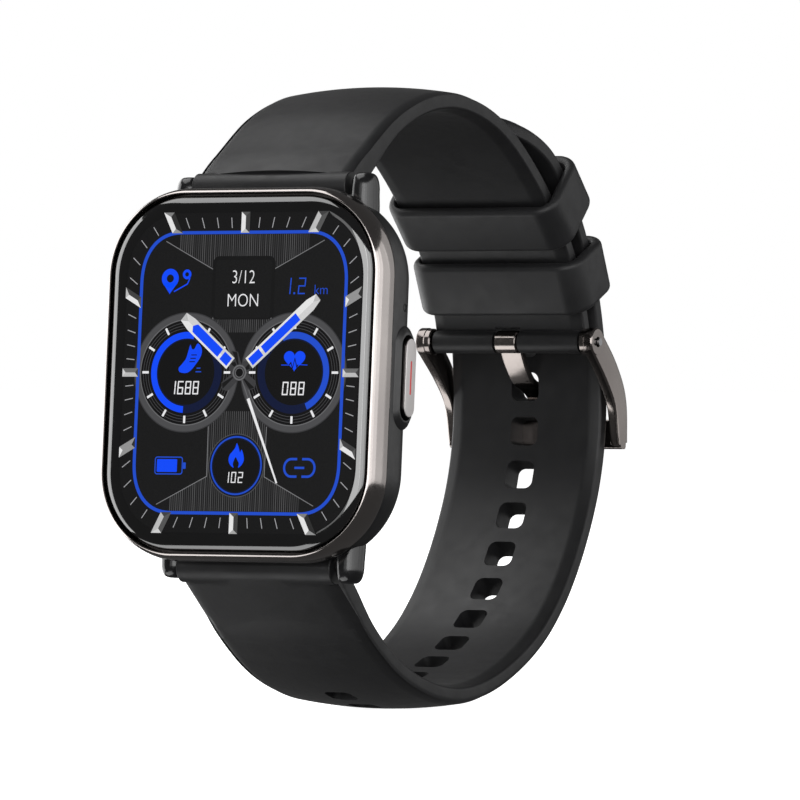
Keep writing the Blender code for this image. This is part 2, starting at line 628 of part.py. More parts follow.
def build_straps():
    silicone = material("black_silicone", (0.035, 0.035, 0.036), 0.55)

    def upper_end(s):
        near = max(0.0, 1 - (UPPER_ROUTE.length - s) / 0.006)
        return STRAP_HALF_WIDTH, SIDE_HEIGHT - 0.0002 * near, CROWN_HEIGHT * (1 - 0.9 * near)

    def lower_end(s):
        left = LOWER_ROUTE.length - s
        tip = 0.0
        if left < STRAP_HALF_WIDTH:
            tip = 1 - math.sqrt(max(0.0, 1 - (1 - left / STRAP_HALF_WIDTH) ** 2))
        half_width = STRAP_HALF_WIDTH * (1 - 0.72 * tip)
        return half_width, SIDE_HEIGHT - 0.0004 * tip, CROWN_HEIGHT * (1 - 0.5 * tip)

    rings = strap_rings(UPPER_ROUTE, 1, upper_end)
    upper = loft("strap_upper", rings, silicone, origin=(0, BAR_Y, BAR_Z))
    barrel_profile = [(-STRAP_HALF_WIDTH, BARREL_RADIUS), (STRAP_HALF_WIDTH, BARREL_RADIUS)]
    barrel = turned_rings((0, BAR_Y, BAR_Z), (1, 0, 0), barrel_profile, 24)
    tube_profile = [(-STRAP_HALF_WIDTH, TUBE_RADIUS), (STRAP_HALF_WIDTH, TUBE_RADIUS)]
    pin_tube = turned_rings((0, PIN_Y, PIN_Z), (1, 0, 0), tube_profile, 20)
    cut(upper, [barrel], "upper_barrel", "UNION")
    cut(upper, [pin_tube], "upper_pin_tube", "UNION")
    bar_bore = turned_rings((0, BAR_Y, BAR_Z), (1, 0, 0), [(-0.012, BAR_BORE), (0.012, BAR_BORE)], 20)
    pin_bore = turned_rings((0, PIN_Y, PIN_Z), (1, 0, 0), [(-0.012, PIN_BORE), (0.012, PIN_BORE)], 16)
    half = TONGUE_HALF_WIDTH + GAP
    corners = ((-half, -0.0030), (half, -0.0030), (half, 0.0060), (-half, 0.0060))
    notch = []
    for z in (-0.0035, 0.0019):
        notch.append([Vector((x, PIN_Y + y, PIN_Z + z)) for x, y in corners])
    cut(upper, [bar_bore], "upper_bar_bore")
    cut(upper, [pin_bore], "upper_pin_bore")
    cut(upper, [notch], "upper_tongue_notch")
    cut(upper, [lever_window(1)], "upper_lever_window")

    rings = strap_rings(LOWER_ROUTE, -1, lower_end, 66)
    lower = loft("strap_lower", rings, silicone, origin=(0, BAR_Y, -BAR_Z))
    barrel = turned_rings((0, BAR_Y, -BAR_Z), (1, 0, 0), barrel_profile, 24)
    cut(lower, [barrel], "lower_barrel", "UNION")
    bar_bore = turned_rings((0, BAR_Y, -BAR_Z), (1, 0, 0), [(-0.012, BAR_BORE), (0.012, BAR_BORE)], 20)
    cut(lower, [bar_bore], "lower_bar_bore")
    cut(lower, [lever_window(-1)], "lower_lever_window")
    first = LOWER_ROUTE.nearest(0.0667, 0.0044)
    holes = []
    for i in range(-HOLES_BELOW, HOLES_ABOVE + 1):
        holes.append(hole_rings(LOWER_ROUTE, first + i * HOLE_PITCH, -1))
    cut(lower, holes, "buckle_holes")


def lever_window(end):
    """The cutter for the slot on the wrist side that shows the quick-release lever."""
    z = end * BAR_Z
    corners = ((0.0052, -0.0007), (0.0094, -0.0007), (0.0094, 0.0007), (0.0052, 0.0007))
    return [[Vector((x, y, z + dz)) for x, dz in corners] for y in (BAR_Y + 0.0002, BAR_Y + 0.0060)]


def keeper_ring(base, out, half_x, low, high, radius, steps=6):
    """A rounded rectangle across the strap: half_x sideways, low to high along the outward normal."""
    middle, half_u = (low + high) / 2, (high - low) / 2
    ring = []
    for corner, (sx, su) in enumerate(((1, 1), (-1, 1), (-1, -1), (1, -1))):
        for step in range(steps + 1):
            angle = (corner + step / steps) * math.pi / 2
            x = sx * (half_x - radius) + radius * math.cos(angle)
            u = middle + su * (half_u - radius) + radius * math.sin(angle)
            ring.append(base + Vector((x, 0, 0)) + out * u)
    return ring


def build_keepers():
    silicone = material("keeper_silicone", (0.035, 0.035, 0.036), 0.5)
    inner_half = STRAP_HALF_WIDTH + KEEPER_CLEARANCE + 0.0001
    low = -CHAMFER_DEPTH - KEEPER_CLEARANCE - 0.0001
    edge = 0.0006
    half_length = KEEPER_LENGTH / 2
    profile = [(-half_length, KEEPER_WALL - edge), (edge - half_length, KEEPER_WALL)]
    profile += [(half_length - edge, KEEPER_WALL), (half_length, KEEPER_WALL - edge)]
    for name, spot, top in KEEPERS:
        s = UPPER_ROUTE.nearest(*spot)
        base, out, along = UPPER_ROUTE.point(s), UPPER_ROUTE.outward(s, 1), UPPER_ROUTE.tangent(s)
        rings = []
        for offset, wall in profile:
            place = base + along * offset
            corner = KEEPER_CORNER - KEEPER_WALL + wall
            rings.append(keeper_ring(place, out, inner_half + wall, low - wall, top + wall, corner))
        for offset in (half_length, -half_length):
            rings.append(keeper_ring(base + along * offset, out, inner_half, low, top, 0.0007))
        loft(name, rings, silicone, closed=True, origin=base)


def build_buckle():
    metal = material("buckle_gunmetal", (0.28, 0.25, 0.24), 0.22, 1.0)
    steel = material("pin_steel", (0.5, 0.5, 0.5), 0.25, 1.0)
    pivot = (0, PIN_Y, PIN_Z)

    pin_profile = [(-0.0136, PIN_RADIUS), (0.0136, PIN_RADIUS)]
    loft("buckle_pin", turned_rings(pivot, (1, 0, 0), pin_profile, 16), steel, origin=pivot)

    arm_line = Route([(PIN_Y, PIN_Z), (0.0651, 0.0054), (0.0680, 0.0010), (0.0698, -0.0045)])
    frame = None
    bar_low, bar_high = 0.06965, 0.07115
    for side in (1, -1):
        rings = []
        arm_steps = 14
        for step in range(arm_steps + 1):
            s = arm_line.length * step / arm_steps
            half = 0.0019 - 0.0007 * step / arm_steps
            point, across = arm_line.point(s), arm_line.outward(s, 1)
            section = [(ARM_INNER, -half), (ARM_OUTER - 0.0003, -half), (ARM_OUTER, 0.0004 - half)]
            section += [(ARM_OUTER, half - 0.0004), (ARM_OUTER - 0.0003, half), (ARM_INNER, half)]
            rings.append([point + across * w + Vector((side * x, 0, 0)) for x, w in section])
        if frame is None:
            frame = loft("buckle_frame", rings, metal, origin=pivot)
        else:
            cut(frame, [rings], "left_arm", "UNION")
    bar = []
    section = [(bar_low, -0.0050), (bar_high - 0.0003, -0.0050), (bar_high, -0.0046)]
    section += [(bar_high, -0.0024), (bar_high - 0.0003, -0.0020), (bar_low, -0.0020)]
    for x in (-ARM_OUTER + 0.0002, ARM_OUTER - 0.0002):
        bar.append([Vector((x, y, z)) for y, z in section])
    cut(frame, [bar], "crossbar", "UNION")
    for side, label in ((1, "right"), (-1, "left")):
        knuckle_profile = [(KNUCKLE_INNER, 0.0014), (ARM_INNER + 0.0004, 0.0014)]
        knuckle = turned_rings(pivot, (side, 0, 0), knuckle_profile, 20)
        head_profile = [(ARM_INNER + 0.00001, 0.00189), (ARM_OUTER - 0.0003, 0.00189)]
        head_profile.append((ARM_OUTER - 0.00001, 0.0016))
        head = turned_rings(pivot, (side, 0, 0), head_profile, 20)
        cut(frame, [knuckle], f"knuckle_{label}", "UNION")
        cut(frame, [head], f"arm_head_{label}", "UNION")
    pin_bore = turned_rings(pivot, (1, 0, 0), [(-0.015, PIN_BORE), (0.015, PIN_BORE)], 16)
    cut(frame, [pin_bore], "frame_pin_bore")

    line = Route([
        (0.0619, 0.0092), (0.0637, 0.0068), (0.0657, 0.0051), (0.0680, 0.0044), (0.0700, 0.0034),
        (0.0713, 0.0015), (0.0719, -0.0012), (0.0719, -0.0046),
    ])
    rings = []
    tongue_steps = 20
    for step in range(tongue_steps + 1):
        s = line.length * step / tongue_steps
        point, across = line.point(s), line.outward(s, 1)
        share = step / tongue_steps
        half_x = TONGUE_HALF_WIDTH - 0.0004 * share
        half_t = TONGUE_THICKNESS / 2 * (1 - 0.25 * share)
        b = 0.00015
        section = [(half_x, half_t - b), (half_x - b, half_t), (b - half_x, half_t), (-half_x, half_t - b)]
        section += [(-half_x, b - half_t), (b - half_x, -half_t), (half_x - b, -half_t), (half_x, b - half_t)]
        rings.append([point + across * w + Vector((x, 0, 0)) for x, w in section])
    tongue = loft("buckle_tongue", rings, metal, origin=pivot)
    eye_profile = [(-TONGUE_HALF_WIDTH, TUBE_RADIUS), (TONGUE_HALF_WIDTH, TUBE_RADIUS)]
    eye = turned_rings(pivot, (1, 0, 0), eye_profile, 20)
    cut(tongue, [eye], "tongue_eye", "UNION")
    cut(tongue, [turned_rings(pivot, (1, 0, 0), [(-0.002, PIN_BORE), (0.002, PIN_BORE)], 16)], "tongue_bore")


def main():
    clear_scene()
    watch = bpy.data.objects.new("watch", None)
    lean = Matrix.Rotation(-LEAN_BACK, 4, "X")
    watch.matrix_world = lean @ Matrix.Translation((0, -WINDOW_TOP, 0))
    bpy.context.scene.collection.objects.link(watch)
    build_case()
    build_back_parts()
    build_electronics()
    build_button()
    build_spring_bars()
    build_straps()
    build_keepers()
    build_buckle()


main()
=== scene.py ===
"""The visible smartwatch: fine surfaces, lit dial, materials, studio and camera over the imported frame."""

import math

import bmesh
import bpy
import numpy as np
from mathutils import Matrix, Vector


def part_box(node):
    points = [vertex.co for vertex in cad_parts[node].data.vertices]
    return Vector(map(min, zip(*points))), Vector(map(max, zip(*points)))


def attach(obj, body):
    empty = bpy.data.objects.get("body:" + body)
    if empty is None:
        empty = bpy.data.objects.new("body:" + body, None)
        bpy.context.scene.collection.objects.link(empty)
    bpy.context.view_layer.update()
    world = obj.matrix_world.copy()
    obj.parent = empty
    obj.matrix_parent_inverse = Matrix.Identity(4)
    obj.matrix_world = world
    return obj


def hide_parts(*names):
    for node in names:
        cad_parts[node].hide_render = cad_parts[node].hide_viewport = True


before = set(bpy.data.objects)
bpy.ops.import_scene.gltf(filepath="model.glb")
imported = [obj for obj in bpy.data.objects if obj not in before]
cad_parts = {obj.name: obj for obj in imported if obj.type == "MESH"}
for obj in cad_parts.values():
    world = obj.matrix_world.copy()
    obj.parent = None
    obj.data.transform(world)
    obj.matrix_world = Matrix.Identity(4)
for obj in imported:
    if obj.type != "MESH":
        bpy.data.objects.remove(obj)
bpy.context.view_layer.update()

MM = 0.001

# The watch frame (Y = 0 on the back cover, -Y out of the dial) leans back in the world.
LEAN_BACK = math.radians(4.8)
WINDOW_TOP = 0.8 * MM
TO_WORLD = Matrix.Rotation(-LEAN_BACK, 4, "X") @ Matrix.Translation((0, -WINDOW_TOP, 0))

scene = bpy.context.scene
scene.view_settings.view_transform = "Standard"


# ---------------------------------------------------------------- materials


def srgb(*values):
    """Linear colour from display values of 0 to 255."""
    result = []
    for value in values:
        v = value / 255
        result.append(v / 12.92 if v <= 0.04045 else ((v + 0.055) / 1.055) ** 2.4)
    return (*result, 1)


NOISE_RANGE = (0.3, 0.7)


class Nodes:
    """A material's node tree, built by short calls. Coordinates are in millimetres."""

    def __init__(self, name):
        self.mat = bpy.data.materials.new(name)
        self.mat.use_nodes = True
        self.tree = self.mat.node_tree
        self.shader = self.tree.nodes["Principled BSDF"]
        geometry = self.add("ShaderNodeTexCoord")
        mapping = self.add("ShaderNodeMapping")
        mapping.inputs["Scale"].default_value = (1000, 1000, 1000)
        self.link(geometry.outputs["Object"], mapping.inputs["Vector"])
        self.place = mapping.outputs["Vector"]

    def add(self, kind):
        return self.tree.nodes.new(kind)

    def link(self, out, into):
        self.tree.links.new(out, into)

    def set(self, **values):
        names = {"color": "Base Color", "rough": "Roughness", "metal": "Metallic", "ior": "IOR",
                 "sheen": "Sheen Weight", "sheen_rough": "Sheen Roughness", "specular": "Specular IOR Level",
                 "emission": "Emission Color", "strength": "Emission Strength"}
        for key, value in values.items():
            self.shader.inputs[names[key]].default_value = value

    def noise(self, scale, detail=3.0, rough=0.5):
        """A noise value from 0 to 1; scale is in cycles per millimetre."""
        node = self.add("ShaderNodeTexNoise")
        for key, value in {"Scale": scale, "Detail": detail, "Roughness": rough}.items():
            node.inputs[key].default_value = value
        self.link(self.place, node.inputs["Vector"])
        return node.outputs["Fac"]

    def vary_color(self, value, low, high, clip=NOISE_RANGE, socket="Base Color"):
        """Colour from low to high as the value runs through clip."""
        ramp = self.add("ShaderNodeValToRGB")
        for element, position, color in zip(ramp.color_ramp.elements, clip, (low, high)):
            element.position = position
            element.color = color
        self.link(value, ramp.inputs["Fac"])
        self.link(ramp.outputs["Color"], self.shader.inputs[socket])

    def vary_rough(self, value, low, high):
        """Roughness from low to high as the value runs through the usual range of a noise."""
        node = self.add("ShaderNodeMapRange")
        ends = (*NOISE_RANGE, low, high)
        for key, number in zip(("From Min", "From Max", "To Min", "To Max"), ends):
            node.inputs[key].default_value = number
        self.link(value, node.inputs["Value"])
        self.link(node.outputs["Result"], self.shader.inputs["Roughness"])

    def bump(self, layers):
        """layers: (height value, depth in millimetres), stacked."""
        normal = None
        for height, depth in layers:
            node = self.add("ShaderNodeBump")
            node.inputs["Strength"].default_value = 1.0
            node.inputs["Distance"].default_value = depth * MM
            self.link(height, node.inputs["Height"])
            if normal is not None:
                self.link(normal, node.inputs["Normal"])
            normal = node.outputs["Normal"]
        self.link(normal, self.shader.inputs["Normal"])


def silicone(name, dark, light, rough):
    m = Nodes(name)
    m.set(rough=rough, specular=0.28, sheen=0.02, sheen_rough=0.4)
    m.vary_color(m.noise(0.12, 4), dark, light)
    m.vary_rough(m.noise(0.5, 3), rough - 0.04, rough + 0.05)
    m.bump([(m.noise(9.0, 2), 0.006), (m.noise(0.35, 2), 0.02)])
    return m.mat


def polished_metal(name, dark, light, rough):
    m = Nodes(name)
    m.set(metal=1.0, rough=rough)
    m.vary_color(m.noise(0.08, 3), dark, light)
    m.vary_rough(m.noise(1.5, 5, 0.6), rough - 0.03, rough + 0.05)
    m.bump([(m.noise(2.0, 3), 0.0012), (m.noise(0.15, 1), 0.012)])
    return m.mat


def plastic(name, dark, light, rough, texture=0.004):
    m = Nodes(name)
    m.set(rough=rough, specular=0.5)
    m.vary_color(m.noise(0.3, 3), dark, light)
    m.vary_rough(m.noise(0.9, 4), rough - 0.04, rough + 0.05)
    m.bump([(m.noise(12.0, 2), texture)])
    return m.mat


def glowing(name, color, speckle=0.08):
    """A lit screen colour, with the faint unevenness of its pixels."""
    m = Nodes(name)
    m.set(color=(0.004, 0.004, 0.004, 1), rough=0.25, specular=0.2, strength=1.0)
    dark = tuple(c * (1 - speckle) for c in color[:3]) + (1,)
    m.vary_color(m.noise(6.0, 2), dark, color, (0.25, 0.75), "Emission Color")
    return m.mat


# ---------------------------------------------------------------- mesh helpers


def add_rings(bm, rings, closed=False):
    """Skins a row of rings; the row ends in two caps, or closes on itself."""
    loops = [[bm.verts.new(p) for p in ring] for ring in rings]
    count = len(loops[0])
    for first, second in zip(loops, loops[1:] + loops[:1] if closed else loops[1:]):
        for i in range(count):
            j = (i + 1) % count
            bm.faces.new((first[i], first[j], second[j], second[i]))
    if not closed:
        bm.faces.new(loops[0])
        bm.faces.new(loops[-1])


def loft(name, rings, mat, body, replaces=(), sharp=35, closed=False):
    """Rings given in the watch frame, in metres, become one visible piece riding on a body."""
    bm = bmesh.new()
    add_rings(bm, rings, closed)
    bmesh.ops.remove_doubles(bm, verts=bm.verts, dist=1e-7)
    bmesh.ops.recalc_face_normals(bm, faces=bm.faces)
    bmesh.ops.transform(bm, matrix=TO_WORLD, verts=bm.verts)
    mesh = bpy.data.meshes.new(name)
    bm.to_mesh(mesh)
    bm.free()
    mesh.shade_smooth()
    mesh.set_sharp_from_angle(angle=math.radians(sharp))
    mesh.materials.append(mat)
    obj = bpy.data.objects.new(name, mesh)
    scene.collection.objects.link(obj)
    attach(obj, body)
    if replaces:
        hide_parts(*replaces)
    return obj


def quarter(steps):
    """(sine, cosine) pairs from 0 to 90 degrees."""
    angles = [math.pi / 2 * step / steps for step in range(steps + 1)]
    return [(math.sin(angle), math.cos(angle)) for angle in angles]


def signed_power(value, exponent):
    return math.copysign(abs(value) ** exponent, value)


def rounded(half_a, half_b, radius_a, radius_b, power=2.0, steps=24):
    """A rounded rectangle, anticlockwise; a power over 2 squares its corners a little."""
    points = []
    for corner, (side_a, side_b) in enumerate(((1, 1), (-1, 1), (-1, -1), (1, -1))):
        for step in range(steps + 1):
            angle = (corner + step / steps) * math.pi / 2
            a = side_a * (half_a - radius_a) + radius_a * signed_power(math.cos(angle), 2 / power)
            b = side_b * (half_b - radius_b) + radius_b * signed_power(math.sin(angle), 2 / power)
            points.append((a, b))
    return points


def inset(outline, amount, y):
    """The (half width, half height, corner radius) outline, drawn in by an amount, at depth y."""
    half_x, half_z, radius = outline
    radius = max(radius - amount, 0.0002)
    return [Vector((x, y, z)) for x, z in rounded(half_x - amount, half_z - amount, radius, radius)]


def turned(center, profile, side=1, steps=48):
    """Rings about an X line through the centre; profile is (distance to that side, radius)."""
    rings = []
    for along, radius in profile:
        middle = Vector(center) + Vector((side * along, 0, 0))
        angles = [2 * math.pi * i / steps for i in range(steps)]
        rings.append([middle + radius * Vector((0, math.cos(a), math.sin(a))) for a in angles])
    return rings


def spline(a, b, c, d, t):
    """A point between b and c on the smooth curve through a, b, c and d."""
    return 0.5 * (2 * b + (c - a) * t + (2 * a - 5 * b + 4 * c - d) * t * t + (3 * b - a - 3 * c + d) * t**3)


def arc_profile(points, corner, steps=5):
    """Rounds the corners of an open (a, b) profile with small arcs, leaving its ends."""
    result = [points[0]]
    for before, at, after in zip(points, points[1:], points[2:]):
        p, q, r = Vector(before), Vector(at), Vector(after)
        reach = min(corner, (p - q).length / 2, (r - q).length / 2)
        start, end = q + (p - q).normalized() * reach, q + (r - q).normalized() * reach
        for i in range(steps + 1):
            t = i / steps
            result.append(tuple((1 - t) ** 2 * start + 2 * t * (1 - t) * q + t * t * end))
    result.append(points[-1])
    return result


class Route:
    """A smooth line in the YZ plane through a few points, read by its length from the start."""

    def __init__(self, points, samples=40):
        knots = [Vector((0, y, z)) for y, z in points]
        knots = [2 * knots[0] - knots[1]] + knots + [2 * knots[-1] - knots[-2]]
        line = []
        for a, b, c, d in zip(knots, knots[1:], knots[2:], knots[3:]):
            line += [spline(a, b, c, d, step / samples) for step in range(samples)]
        line.append(knots[-2])
        self.line = line
        self.at = np.concatenate([[0], np.cumsum([(q - p).length for p, q in zip(line, line[1:])])])
        self.length = float(self.at[-1])

    def point(self, s):
        """The point at length s from the start."""
        y = np.interp(s, self.at, [p.y for p in self.line])
        z = np.interp(s, self.at, [p.z for p in self.line])
        return Vector((0, float(y), float(z)))

    def tangent(self, s):
        step = 0.0009
        return (self.point(min(s + step, self.length)) - self.point(max(s - step, 0))).normalized()

    def outward(self, s, turn):
        """The unit normal on the side that turn picks, 1 or -1."""
        along = self.tangent(s)
        return Vector((0, -along.z, along.y)) * turn

    def nearest(self, y, z):
        """The length from the start at which the line comes nearest to a spot."""
        return float(self.at[int(np.argmin([(p - Vector((0, y, z))).length for p in self.line]))])


UPPER_ROUTE = Route([
    (-0.0013, 0.0230), (0.0021, 0.0262), (0.0090, 0.0321), (0.0179, 0.0358), (0.0271, 0.0366),
    (0.0368, 0.0345), (0.0466, 0.0290), (0.0554, 0.0215), (0.0599, 0.0145), (0.0614, 0.0112),
])
LOWER_ROUTE = Route([
    (-0.0013, -0.0230), (0.0023, -0.0258), (0.0076, -0.0305), (0.0148, -0.0345), (0.0230, -0.0367),
    (0.0311, -0.0371), (0.0387, -0.0356), (0.0462, -0.0325), (0.0524, -0.0287), (0.0572, -0.0242),
    (0.0609, -0.0192), (0.0639, -0.0136), (0.0659, -0.0082), (0.0669, -0.0025), (0.0668, 0.0035),
    (0.0658, 0.0095), (0.0638, 0.0155), (0.0607, 0.0213), (0.0566, 0.0266), (0.0515, 0.0312),
    (0.0457, 0.0346), (0.0404, 0.0366),
])

# ---------------------------------------------------------------- shared sizes

# Outlines are (half width, half height, corner radius).
FRAME_OUTLINE = (0.0198, 0.02335, 0.0112)
FRAME_FRONT, FRAME_REAR = -0.01045, -0.0066
BODY_OUTLINE = (0.01935, 0.02295, 0.0111)
BACK_RECESS = (0.0156, 0.0191, 0.0053)
BODY_CAVITY = (0.0177, 0.0212, 0.0092)
GLASS_OUTLINE = (0.01855, 0.0221, 0.0099)
GLASS_FRONT = -0.01088
BAR_Y, BAR_Z = -0.0030, 0.0238
STRAP_HALF = 0.0110
BAND_SIDE, CROWN = 0.0019, 0.0009
PIN_Y, PIN_Z = 0.0612, 0.0099
BUTTON_Y = -0.0030
BUTTON_LENGTH, BUTTON_WIDTH, BUTTON_FACE = 0.0099, 0.00265, 0.0204

SILICONE = silicone("black_silicone", srgb(20, 20, 21), srgb(25, 25, 26), 0.44)
KEEPER_SILICONE = silicone("keeper_silicone", srgb(24, 24, 25), srgb(29, 29, 30), 0.46)
GUNMETAL = polished_metal("gunmetal", srgb(150, 144, 142), srgb(168, 162, 159), 0.12)
BODY_PLASTIC = plastic("satin_black_plastic", srgb(16, 16, 17), srgb(21, 21, 22), 0.38)
LUG_PLASTIC = plastic("gloss_black_plastic", srgb(16, 16, 17), srgb(22, 22, 23), 0.16, 0.002)


# ---------------------------------------------------------------- case


def build_case():
    seat, seat_y, lip = 0.00095, -0.0086, 0.0016
    front_in, front_depth, rear_in, rear_depth = 0.00088, 0.0031, 0.00040, 0.00055
    ring = [(seat, -0.0102), (0.00092, -0.01038)]
    ring += [(front_in * (1 - s), FRAME_FRONT + front_depth * (1 - c)) for s, c in quarter(24)]
    ring += [(rear_in * (1 - c), FRAME_REAR - rear_depth + rear_depth * s) for s, c in quarter(5)[1:]]
    ring += [(lip, FRAME_REAR), (lip, seat_y), (seat, seat_y)]
    rings = [inset(FRAME_OUTLINE, amount, y) for amount, y in ring]
    loft("bezel_ring", rings, GUNMETAL, "watch", ["bezel_frame"], 40, closed=True)

    glass = plastic("black_glass", (0.0012, 0.0012, 0.0013, 1), (0.0018, 0.0018, 0.002, 1), 0.045, 0.0003)
    glass.node_tree.nodes["Principled BSDF"].inputs["IOR"].default_value = 1.95
    curve, curve_drop = 0.00225, 0.00095
    rings = [inset(GLASS_OUTLINE, 0.0003, -0.0094), inset(GLASS_OUTLINE, 0.0, -0.0097)]
    for s, c in quarter(14):
        rings.append(inset(GLASS_OUTLINE, curve * (1 - c), GLASS_FRONT + curve_drop * (1 - s)))
    loft("front_glass", rings, glass, "watch", ["cover_glass"], 30)

    wall_y, wall, edge = -0.0063, 0.0018, 0.00025
    round_y, round_in, round_depth = -0.0040, 0.0024, 0.0039
    ledge, ledge_y, floor_y = 0.0010, -0.0016, -0.0026
    rings = [inset(BODY_OUTLINE, wall, wall_y)]
    rings += [inset(BODY_OUTLINE, edge * (1 - s), wall_y + edge * (1 - c)) for s, c in quarter(3)]
    rings += [inset(BODY_OUTLINE, round_in * (1 - c), round_y + round_depth * s) for s, c in quarter(12)]
    for amount, y in ((0.0, -0.0001), (0.0, ledge_y), (ledge, ledge_y), (ledge, floor_y)):
        rings.append(inset(BACK_RECESS, amount, y))
    rings.append(inset(BODY_CAVITY, 0.0, floor_y))
    shell = loft("case_shell", rings, BODY_PLASTIC, "watch", ["case_body"], 40, True)
    length, width = BUTTON_LENGTH + 0.0004, BUTTON_WIDTH + 0.0004
    bore = [stadium(x, length, width, BUTTON_Y) for x in (0.0172, 0.0212)]
    boolean(shell, [bore])
    reshade(shell, 40)

    for end, vertical in ((1, "upper"), (-1, "lower")):
        for side, horizontal in ((1, "right"), (-1, "left")):
            name = f"lug_{vertical}_{horizontal}"
            loft(name, lug_rings(side, end), LUG_PLASTIC, "watch", (), 60)

    # Each slice of the guard round the button: (x, length, width), from the case wall to inside the rim
    slices = [
        (0.0186, 0.0136, 0.0054), (0.01932, 0.0129, 0.0048), (0.0195, 0.0124, 0.0043),
        (0.0197, 0.0118, 0.0038), (0.01985, 0.0113, 0.0035), (0.01993, 0.0109, 0.0033),
        (0.0199, 0.01065, 0.0031), (0.0190, 0.01055, 0.0030),
    ]
    rings = [stadium(x, length, width, BUTTON_Y) for x, length, width in slices]
    guard = loft("button_guard", rings, BODY_PLASTIC, "watch", (), 50)
    boolean(guard, [bore])
    reshade(guard, 50)

    # The microphone port is not cut: a near-black cap on the case wall is painted shade for the dark inside
    # of the hole.
    dark = plastic("port_hole_painted_shade", srgb(4, 4, 4), srgb(8, 8, 8), 0.6)
    rim = [(0.01915, 0.00052), (0.01937, 0.00050), (0.01940, 0.00042), (0.01936, 0.00036), (0.01910, 0.00034)]
    rings = turned((0, -0.0032, 0.0087), rim, steps=32)
    loft("microphone_port", rings, dark, "watch", (), 40)


def stadium(x, length, width, center_y, steps=20):
    """A slot-shaped ring along Z, at the given x."""
    half = (length - width) / 2
    ring = []
    for sign, first in ((1, 0.0), (-1, math.pi)):
        for step in range(steps + 1):
            angle = math.pi * step / steps + first
            y = center_y + width / 2 * math.cos(angle)
            z = sign * half + width / 2 * math.sin(angle)
            ring.append(Vector((x, y, z)))
    return ring


def lug_rings(side, end):
    """One finger-like lug: a rounded bar along Z that ends in a soft dome past the spring bar."""
    middle_x, dome = (0.01297, 0.00225) if side > 0 else (-0.0120, 0.00190)
    half_x, half_y, dome_z, thinnest = 0.00165, 0.00185, 0.0233, 0.02
    slices = [(0.0198, 1.06, 1.06), (0.0215, 1.04, 1.04), (0.0228, 1.0, 1.0)]
    for s, c in quarter(12)[1:]:
        slices.append((dome_z + dome * s, max(c, thinnest) ** 0.45, max(c, thinnest) ** 0.5))
    rings = []
    for z, scale_x, scale_y in slices:
        ring = []
        for step in range(32):
            angle = 2 * math.pi * step / 32
            x = middle_x + half_x * scale_x * signed_power(math.cos(angle), 0.8)
            y = BAR_Y - 0.0001 + half_y * scale_y * signed_power(math.sin(angle), 0.8)
            ring.append(Vector((x, y, end * z)))
        rings.append(ring)
    return rings


def build_button():
    champagne = polished_metal("champagne_metal", srgb(176, 172, 171), srgb(186, 182, 181), 0.36)
    champagne.node_tree.nodes["Principled BSDF"].inputs["Metallic"].default_value = 0.35
    red = plastic("button_red", srgb(190, 30, 30), srgb(205, 38, 36), 0.4)
    rim = polished_metal("button_rim_metal", srgb(60, 58, 58), srgb(74, 71, 70), 0.22)
    rim_front = BUTTON_FACE - 0.0001
    profile = arc_profile([(0.0, 0.0194), (0.0, rim_front), (0.0003, rim_front)], 0.0001, 3)
    rings = [stadium(x, BUTTON_LENGTH - 2 * i, BUTTON_WIDTH - 2 * i, BUTTON_Y) for i, x in profile]
    loft("button_rim", rings, rim, "button", ["button_cap"], 50)
    profile = [(0.00014, BUTTON_FACE - 0.0002)]
    profile += [(0.00010 + 0.00010 * (1 - c), BUTTON_FACE - 0.00008 * (1 - s)) for s, c in quarter(4)]
    rings = [stadium(x, BUTTON_LENGTH - 2 * i, BUTTON_WIDTH - 2 * i, BUTTON_Y) for i, x in profile]
    loft("side_button", rings, champagne, "button", (), 50)
    mark_length, mark_width = 0.0042, 0.00030
    spots = (BUTTON_FACE - 0.0001, BUTTON_FACE + 0.00002)
    rings = [stadium(x, mark_length, mark_width, BUTTON_Y, steps=6) for x in spots]
    loft("button_mark", rings, red, "button")


# ---------------------------------------------------------------- strap


def strap_outline(half, side, crown, chamfer=0.0017, depth=0.0005):
    """One cross-section as (x, u): flat inner face, chamfer, upright side, small lip, crowned outer face."""
    lip = 0.00022
    right = [(half - chamfer, -depth), (half - 0.0002, -0.00012), (half, 0.0001), (half, side - 0.0006)]
    right = arc_profile([(0.0, -depth)] + right + [(half - 0.0001, side - lip)], 0.00035, 4)[1:]
    top = []
    steps = 14
    for step in range(steps + 1):
        share = 1 - step / steps
        x = (half - 0.00015) * share
        rise = crown * (1 - share * share)
        round_off = 0.00045 * max(0.0, (share - 0.93) / 0.07) ** 2
        top.append((x, side + rise - round_off))
    right += top
    left = [(-x, u) for x, u in reversed(right[:-1])]
    return right + left


def place_section(route, s, turn, outline):
    """The cross-section set square to the route at length s."""
    base, out = route.point(s), route.outward(s, turn)
    return [base + Vector((x, 0, 0)) + out * u for x, u in outline]


def band_half(s):
    """The band widens very slightly away from the case."""
    return STRAP_HALF + 0.00015 * min(1.0, s / 0.03)


def strap_rings(route, turn, end_shape, stations):
    """The band's cross-sections along its route, a little thicker by the case."""
    rings = []
    for step in range(stations + 1):
        s = route.length * step / stations
        thick = 0.0012 * math.exp(-((s / 0.009) ** 2))
        if turn < 0:
            thick *= 0.75 * (1 - math.exp(-((s / 0.0026) ** 2)))
        half, side, crown = end_shape(s)
        rings.append(place_section(route, s, turn, strap_outline(half, side + thick, crown)))
    return rings


